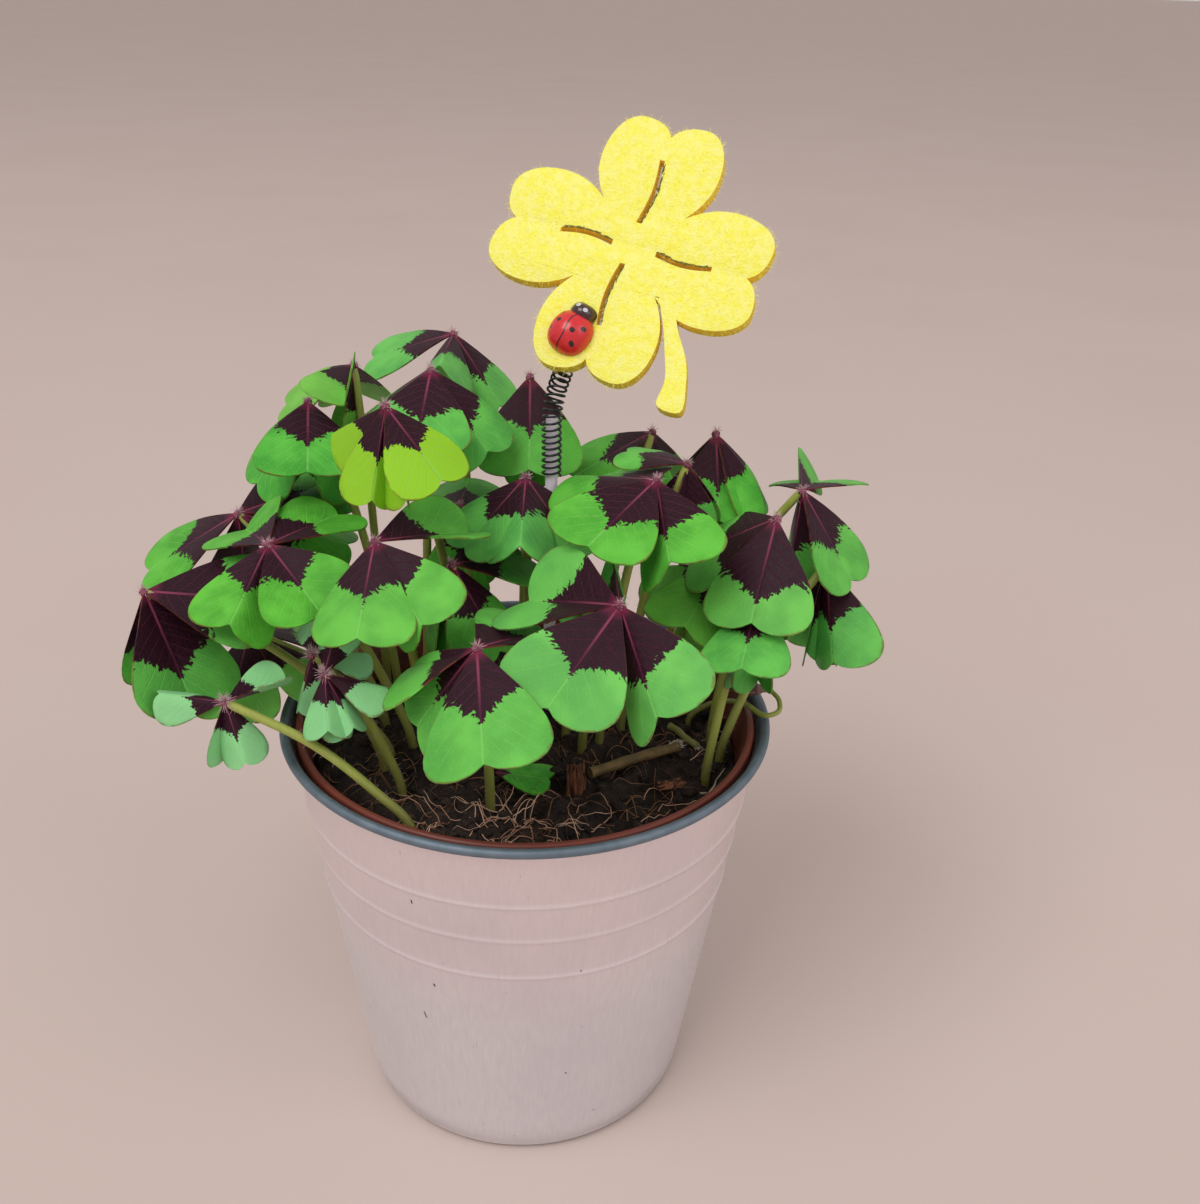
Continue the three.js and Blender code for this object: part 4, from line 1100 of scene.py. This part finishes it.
half_heart = heart_points()
whole_heart = [Vector((-point.x, point.y)) for point in half_heart[:-1]] + half_heart[::-1][:-1]
clover_outline = []
for heart_number in range(4):
    quarter = Matrix.Rotation(-heart_number * pi / 2, 2)
    clover_outline += [quarter @ point for point in whole_heart]
slit_outlines = []
for number, (near, far) in enumerate(FELT_SLITS):
    quarter = Matrix.Rotation(-number * pi / 2, 2)
    bowed = [Vector((SLIT_BOW * sin(pi * i / 8), near + (far - near) * i / 8)) for i in range(9)]
    right_side = [point + Vector((SLIT_WIDTH / 2, 0)) for point in bowed]
    left_side = [point - Vector((SLIT_WIDTH / 2, 0)) for point in reversed(bowed)]
    slit_outlines.append([quarter @ point for point in right_side + left_side])
clover = flat_slab("clover", [clover_outline, *slit_outlines], FELT_THICKNESS)
stem_line = smooth_line([(*point, 0) for point in [*FELT_STEM, FELT_STEM[0]]], 48)[:-1]
unspun = Matrix.Rotation(-FELT_SPIN, 2)
stem_outline = [unspun @ point.to_2d() for point in stem_line]
clover_stem = flat_slab("clover_stem", [stem_outline], FELT_THICKNESS)
union = clover.modifiers.new("stem", "BOOLEAN")
union.operation = "UNION"
union.object = clover_stem
only(clover)
bpy.ops.object.modifier_apply(modifier="stem")
bpy.data.objects.remove(clover_stem)
softened = clover.modifiers.new("soft_edge", "BEVEL")
softened.width = 0.35 * MM
softened.segments = 2
softened.limit_method = "ANGLE"
softened.angle_limit = radians(60)
bpy.ops.object.modifier_apply(modifier="soft_edge")
level_places = np.array([vertex.co for vertex in clover.data.vertices], np.float32)
keep(clover.data, "felt_place", level_places * 1000)
sunk = Matrix.Translation((0, 0, -FELT_THICKNESS / 2))
clover.data.transform(Matrix.Scale(MM, 4) @ felt_frame @ sunk @ Matrix.Scale(1 / MM, 4))

felt = Look("yellow_felt", Sheen_Weight=0.4, Sheen_Roughness=0.4)
felt.shader.inputs["Sheen Tint"].default_value = shade(255, 250, 150)
felt_place = felt.stored("felt_place")
matted = felt.grain(felt_place, 1.6, 6)
tufts = felt.grain(felt_place, 0.5, 3)
wisp = felt.grain(felt.stretched(felt_place, (1.2, 5, 3)), 1, 4)
cut_edge = felt.node("ShaderNodeNewGeometry", {}, {}, "Normal")
towards = {0: cut_edge, 1: tuple(felt_face)}
facing = felt.node("ShaderNodeVectorMath", {"operation": "DOT_PRODUCT"}, towards, "Value")
lemon = felt.blend(matted.step(0.3, 0.7), shade(252, 246, 76), shade(255, 254, 124))
lemon = felt.blend(tufts.step(0.35, 0.7) * 0.5, lemon, shade(255, 255, 168))
sides = facing.math("ABSOLUTE").step(0.75, 0.35)
orange = felt.blend(matted, shade(255, 186, 6), shade(255, 222, 24))
felt.wear(
    Base_Color=felt.blend(sides * 0.85, lemon, orange),
    Roughness=0.85 + matted * 0.15,
)
felt.relief(matted + wisp * 0.8, 0.6, 0.0006)
settled(clover, ["felt_clover"], [felt], 50)

# Painted shade: short dark olive wisps lie along the upper edge of each slit, where the slit is in shadow.
shade_wisp_dice = Random(9)
shade_wisp_lines = []
for number, (near, far) in enumerate(FELT_SLITS):
    quarter = Matrix.Rotation(-number * pi / 2, 3, "Z")
    for _ in range(70):
        share = shade_wisp_dice.uniform(0, 0.93)
        reach = near + (far - near) * share
        length = shade_wisp_dice.uniform(0.3, 1.3)
        beside = SLIT_BOW * sin(pi * share) + SLIT_WIDTH / 2 + shade_wisp_dice.gauss(0.05, 0.09)
        if number in (1, 2):
            beside = beside - SLIT_WIDTH
        tip = Vector((beside + shade_wisp_dice.gauss(0, 0.12), reach + length, 0.05))
        ends = (Vector((beside, reach, 0.03)), tip)
        shade_wisp_lines.append([(felt_frame @ (quarter @ point), 0.09) for point in ends])
shade_wisps = strands("painted_shade_wisps", shade_wisp_lines)
shade_wisp_look = mottled("painted_shade_wool", 900, shade(58, 60, 34), shade(150, 138, 50), (0.8, 0.2))
settled(shade_wisps, [], [shade_wisp_look], 80)

# Loose wool fibres stand off the felt's face and, more of them, off its cut edges.
wool_dice = Random(5)
wool = []


def wool_fibre(spot, way, length):
    bent = way + Vector((wool_dice.gauss(0, 0.5), wool_dice.gauss(0, 0.5), wool_dice.gauss(0, 0.3)))
    middle = spot + bent.normalized() * length * 0.5
    bent = bent + Vector((wool_dice.gauss(0, 0.8), wool_dice.gauss(0, 0.8), wool_dice.gauss(0, 0.4)))
    tip = middle + bent.normalized() * length * 0.5
    wool.append([(felt_frame @ spot, 0.035), (felt_frame @ middle, 0.03), (felt_frame @ tip, 0.014)])


edge_points = [Vector((point.x, point.y, 0)) for point in clover_outline]
stem_points = [Vector((point.x, point.y, 0)) for point in stem_outline]
for outline, count in ((edge_points, 1100), (stem_points, 240)):
    for _ in range(count):
        i = wool_dice.randrange(len(outline))
        start, end = outline[i - 1], outline[i]
        spot = start.lerp(end, wool_dice.random())
        tangent = (end - start).normalized()
        out = Vector((-tangent.y, tangent.x, 0))
        spot.z = -wool_dice.uniform(0, FELT_THICKNESS)
        wool_fibre(spot, out, wool_dice.uniform(0.5, 1.6))
for _ in range(900):
    heart_turn = Matrix.Rotation(-wool_dice.randrange(4) * pi / 2, 3, "Z")
    spot = heart_turn @ Vector((wool_dice.uniform(-11, 11), wool_dice.uniform(6, 26), 0))
    wool_fibre(spot, Vector((0, 0, 0.35)), wool_dice.uniform(0.5, 1.4))
fuzz = strands("felt_fuzz", wool)
fluff = mottled("wool_fibre", 300, shade(250, 240, 60), shade(255, 252, 150), (0.8, 0.2), Sheen_Weight=0.3)
settled(fuzz, [], [fluff], 80)


# Ladybird: a small wooden half bead glued to the felt, painted gloss red with a black line and
# spots, and a turned black-brown head with two painted highlights.
LADYBIRD_PLACE = Vector((-9.4, -21.3, 0.3))
LADYBIRD_TURN = radians(-25)
LADYBIRD_LENGTH = 12
LADYBIRD_WIDTH = 9.6
LADYBIRD_HEIGHT = 4.6
bird_frame = pick_frame @ Matrix.Translation(LADYBIRD_PLACE) @ Matrix.Rotation(LADYBIRD_TURN, 4, "Z")


def half_bead(name, length, width, height, offset, squareness):
    """A domed bead, flat below, as an egg of a sphere; its own places are kept for the paint."""
    bpy.ops.object.select_all(action="DESELECT")
    bpy.ops.mesh.primitive_uv_sphere_add(segments=48, ring_count=32, radius=1, location=(0, 0, 0))
    bead = bpy.context.object
    bead.name = name
    bpy.ops.object.mode_set(mode="EDIT")
    bpy.ops.mesh.select_all(action="SELECT")
    bpy.ops.mesh.bisect(plane_co=(0, 0, 0), plane_no=(0, 0, 1), use_fill=True, clear_inner=True)
    bpy.ops.object.mode_set(mode="OBJECT")
    for vertex in bead.data.vertices:
        x, y, z = vertex.co
        fuller = 1 + squareness * (x * y) ** 2
        vertex.co = (x * fuller * width / 2, y * fuller * length / 2 + offset, z * height)
    keep(bead.data, "bead_place", np.array([vertex.co for vertex in bead.data.vertices]))
    bead.data.transform(Matrix.Scale(MM, 4) @ bird_frame)
    return bead


bird = half_bead("ladybird_body", LADYBIRD_LENGTH * 0.82, LADYBIRD_WIDTH, LADYBIRD_HEIGHT, 0, 0.25)
head = half_bead("ladybird_head", LADYBIRD_LENGTH * 0.42, LADYBIRD_WIDTH * 0.62, LADYBIRD_HEIGHT * 0.75,
                 LADYBIRD_LENGTH * 0.4, 0.5)


def dots(look, where, spots):
    """1 inside round spots of (x, y, radius) in the bead's own plane."""
    shown = None
    for x, y, radius in spots:
        flat = look.node("ShaderNodeVectorMath", {"operation": "MULTIPLY"}, {0: where, 1: (1, 1, 0)})
        ends = {0: flat, 1: (x, y, 0)}
        away = look.node("ShaderNodeVectorMath", {"operation": "DISTANCE"}, ends, "Value")
        spot = away.step(radius + 0.06, radius - 0.06)
        shown = spot if shown is None else shown.math("MAXIMUM", spot)
    return shown


WING_SPOTS = ((-3.1, 2.6, 0.42), (-2.5, 0.5, 0.52), (1.6, -0.2, 0.58),
              (3.2, 1.4, 0.55), (2.7, -2.6, 0.55), (-3.4, -1.6, 0.3))
scarlet = Look("red_paint", Coat_Weight=0.4, Coat_Roughness=0.12)
scarlet_place = scarlet.stored("bead_place")
brushed = scarlet.grain(scarlet_place, 1.2)
wavy = scarlet_place.part("X") + (scarlet_place.part("Y") * 0.9).math("SINE") * 0.22
seam = 1 - wavy.math("ABSOLUTE").step(0.1, 0.2)
black_paint = seam.math("MAXIMUM", dots(scarlet, scarlet_place, WING_SPOTS))
reds = scarlet.blend(brushed, shade(196, 18, 30), shade(226, 38, 50))
scarlet.wear(
    Base_Color=scarlet.blend(black_paint, reds, shade(24, 12, 14)),
    Roughness=0.26 + brushed * 0.16,
)
scarlet.relief(brushed - black_paint * 0.3, 0.15, 0.0004)
settled(bird, ["ladybird"], [scarlet], 60)

EYE_SHINE = ((-1.1, LADYBIRD_LENGTH * 0.4 + 0.9, 0.55), (1.0, LADYBIRD_LENGTH * 0.4 + 0.5, 0.5))
maroon = Look("head_paint", Coat_Weight=0.6, Coat_Roughness=0.08)
maroon_place = maroon.stored("bead_place")
smear = maroon.grain(maroon_place, 1.5)
shine = dots(maroon, maroon_place, EYE_SHINE)
browns = maroon.blend(smear, shade(30, 12, 16), shade(70, 28, 34))
maroon.wear(
    Base_Color=maroon.blend(shine * 0.8, browns, shade(220, 222, 236)),
    Roughness=0.2 + smear * 0.15,
)
settled(head, ["ladybird"], [maroon], 60)


# Floor: plain, pale and matt, not part of the plant.
bpy.ops.object.select_all(action="DESELECT")
bpy.ops.mesh.primitive_plane_add(size=60, location=(0, 0, -0.0002))
floor = bpy.context.object
floor.name = "floor"
pale = Look("pale_floor", Roughness=0.9)
pale_tone = pale.grain(pale.place(), 6)
pale.wear(Base_Color=pale.blend(pale_tone, shade(199, 182, 175), shade(205, 190, 184)))
floor.data.materials.append(pale.material)

bpy.data.objects.remove(leaflet_start)
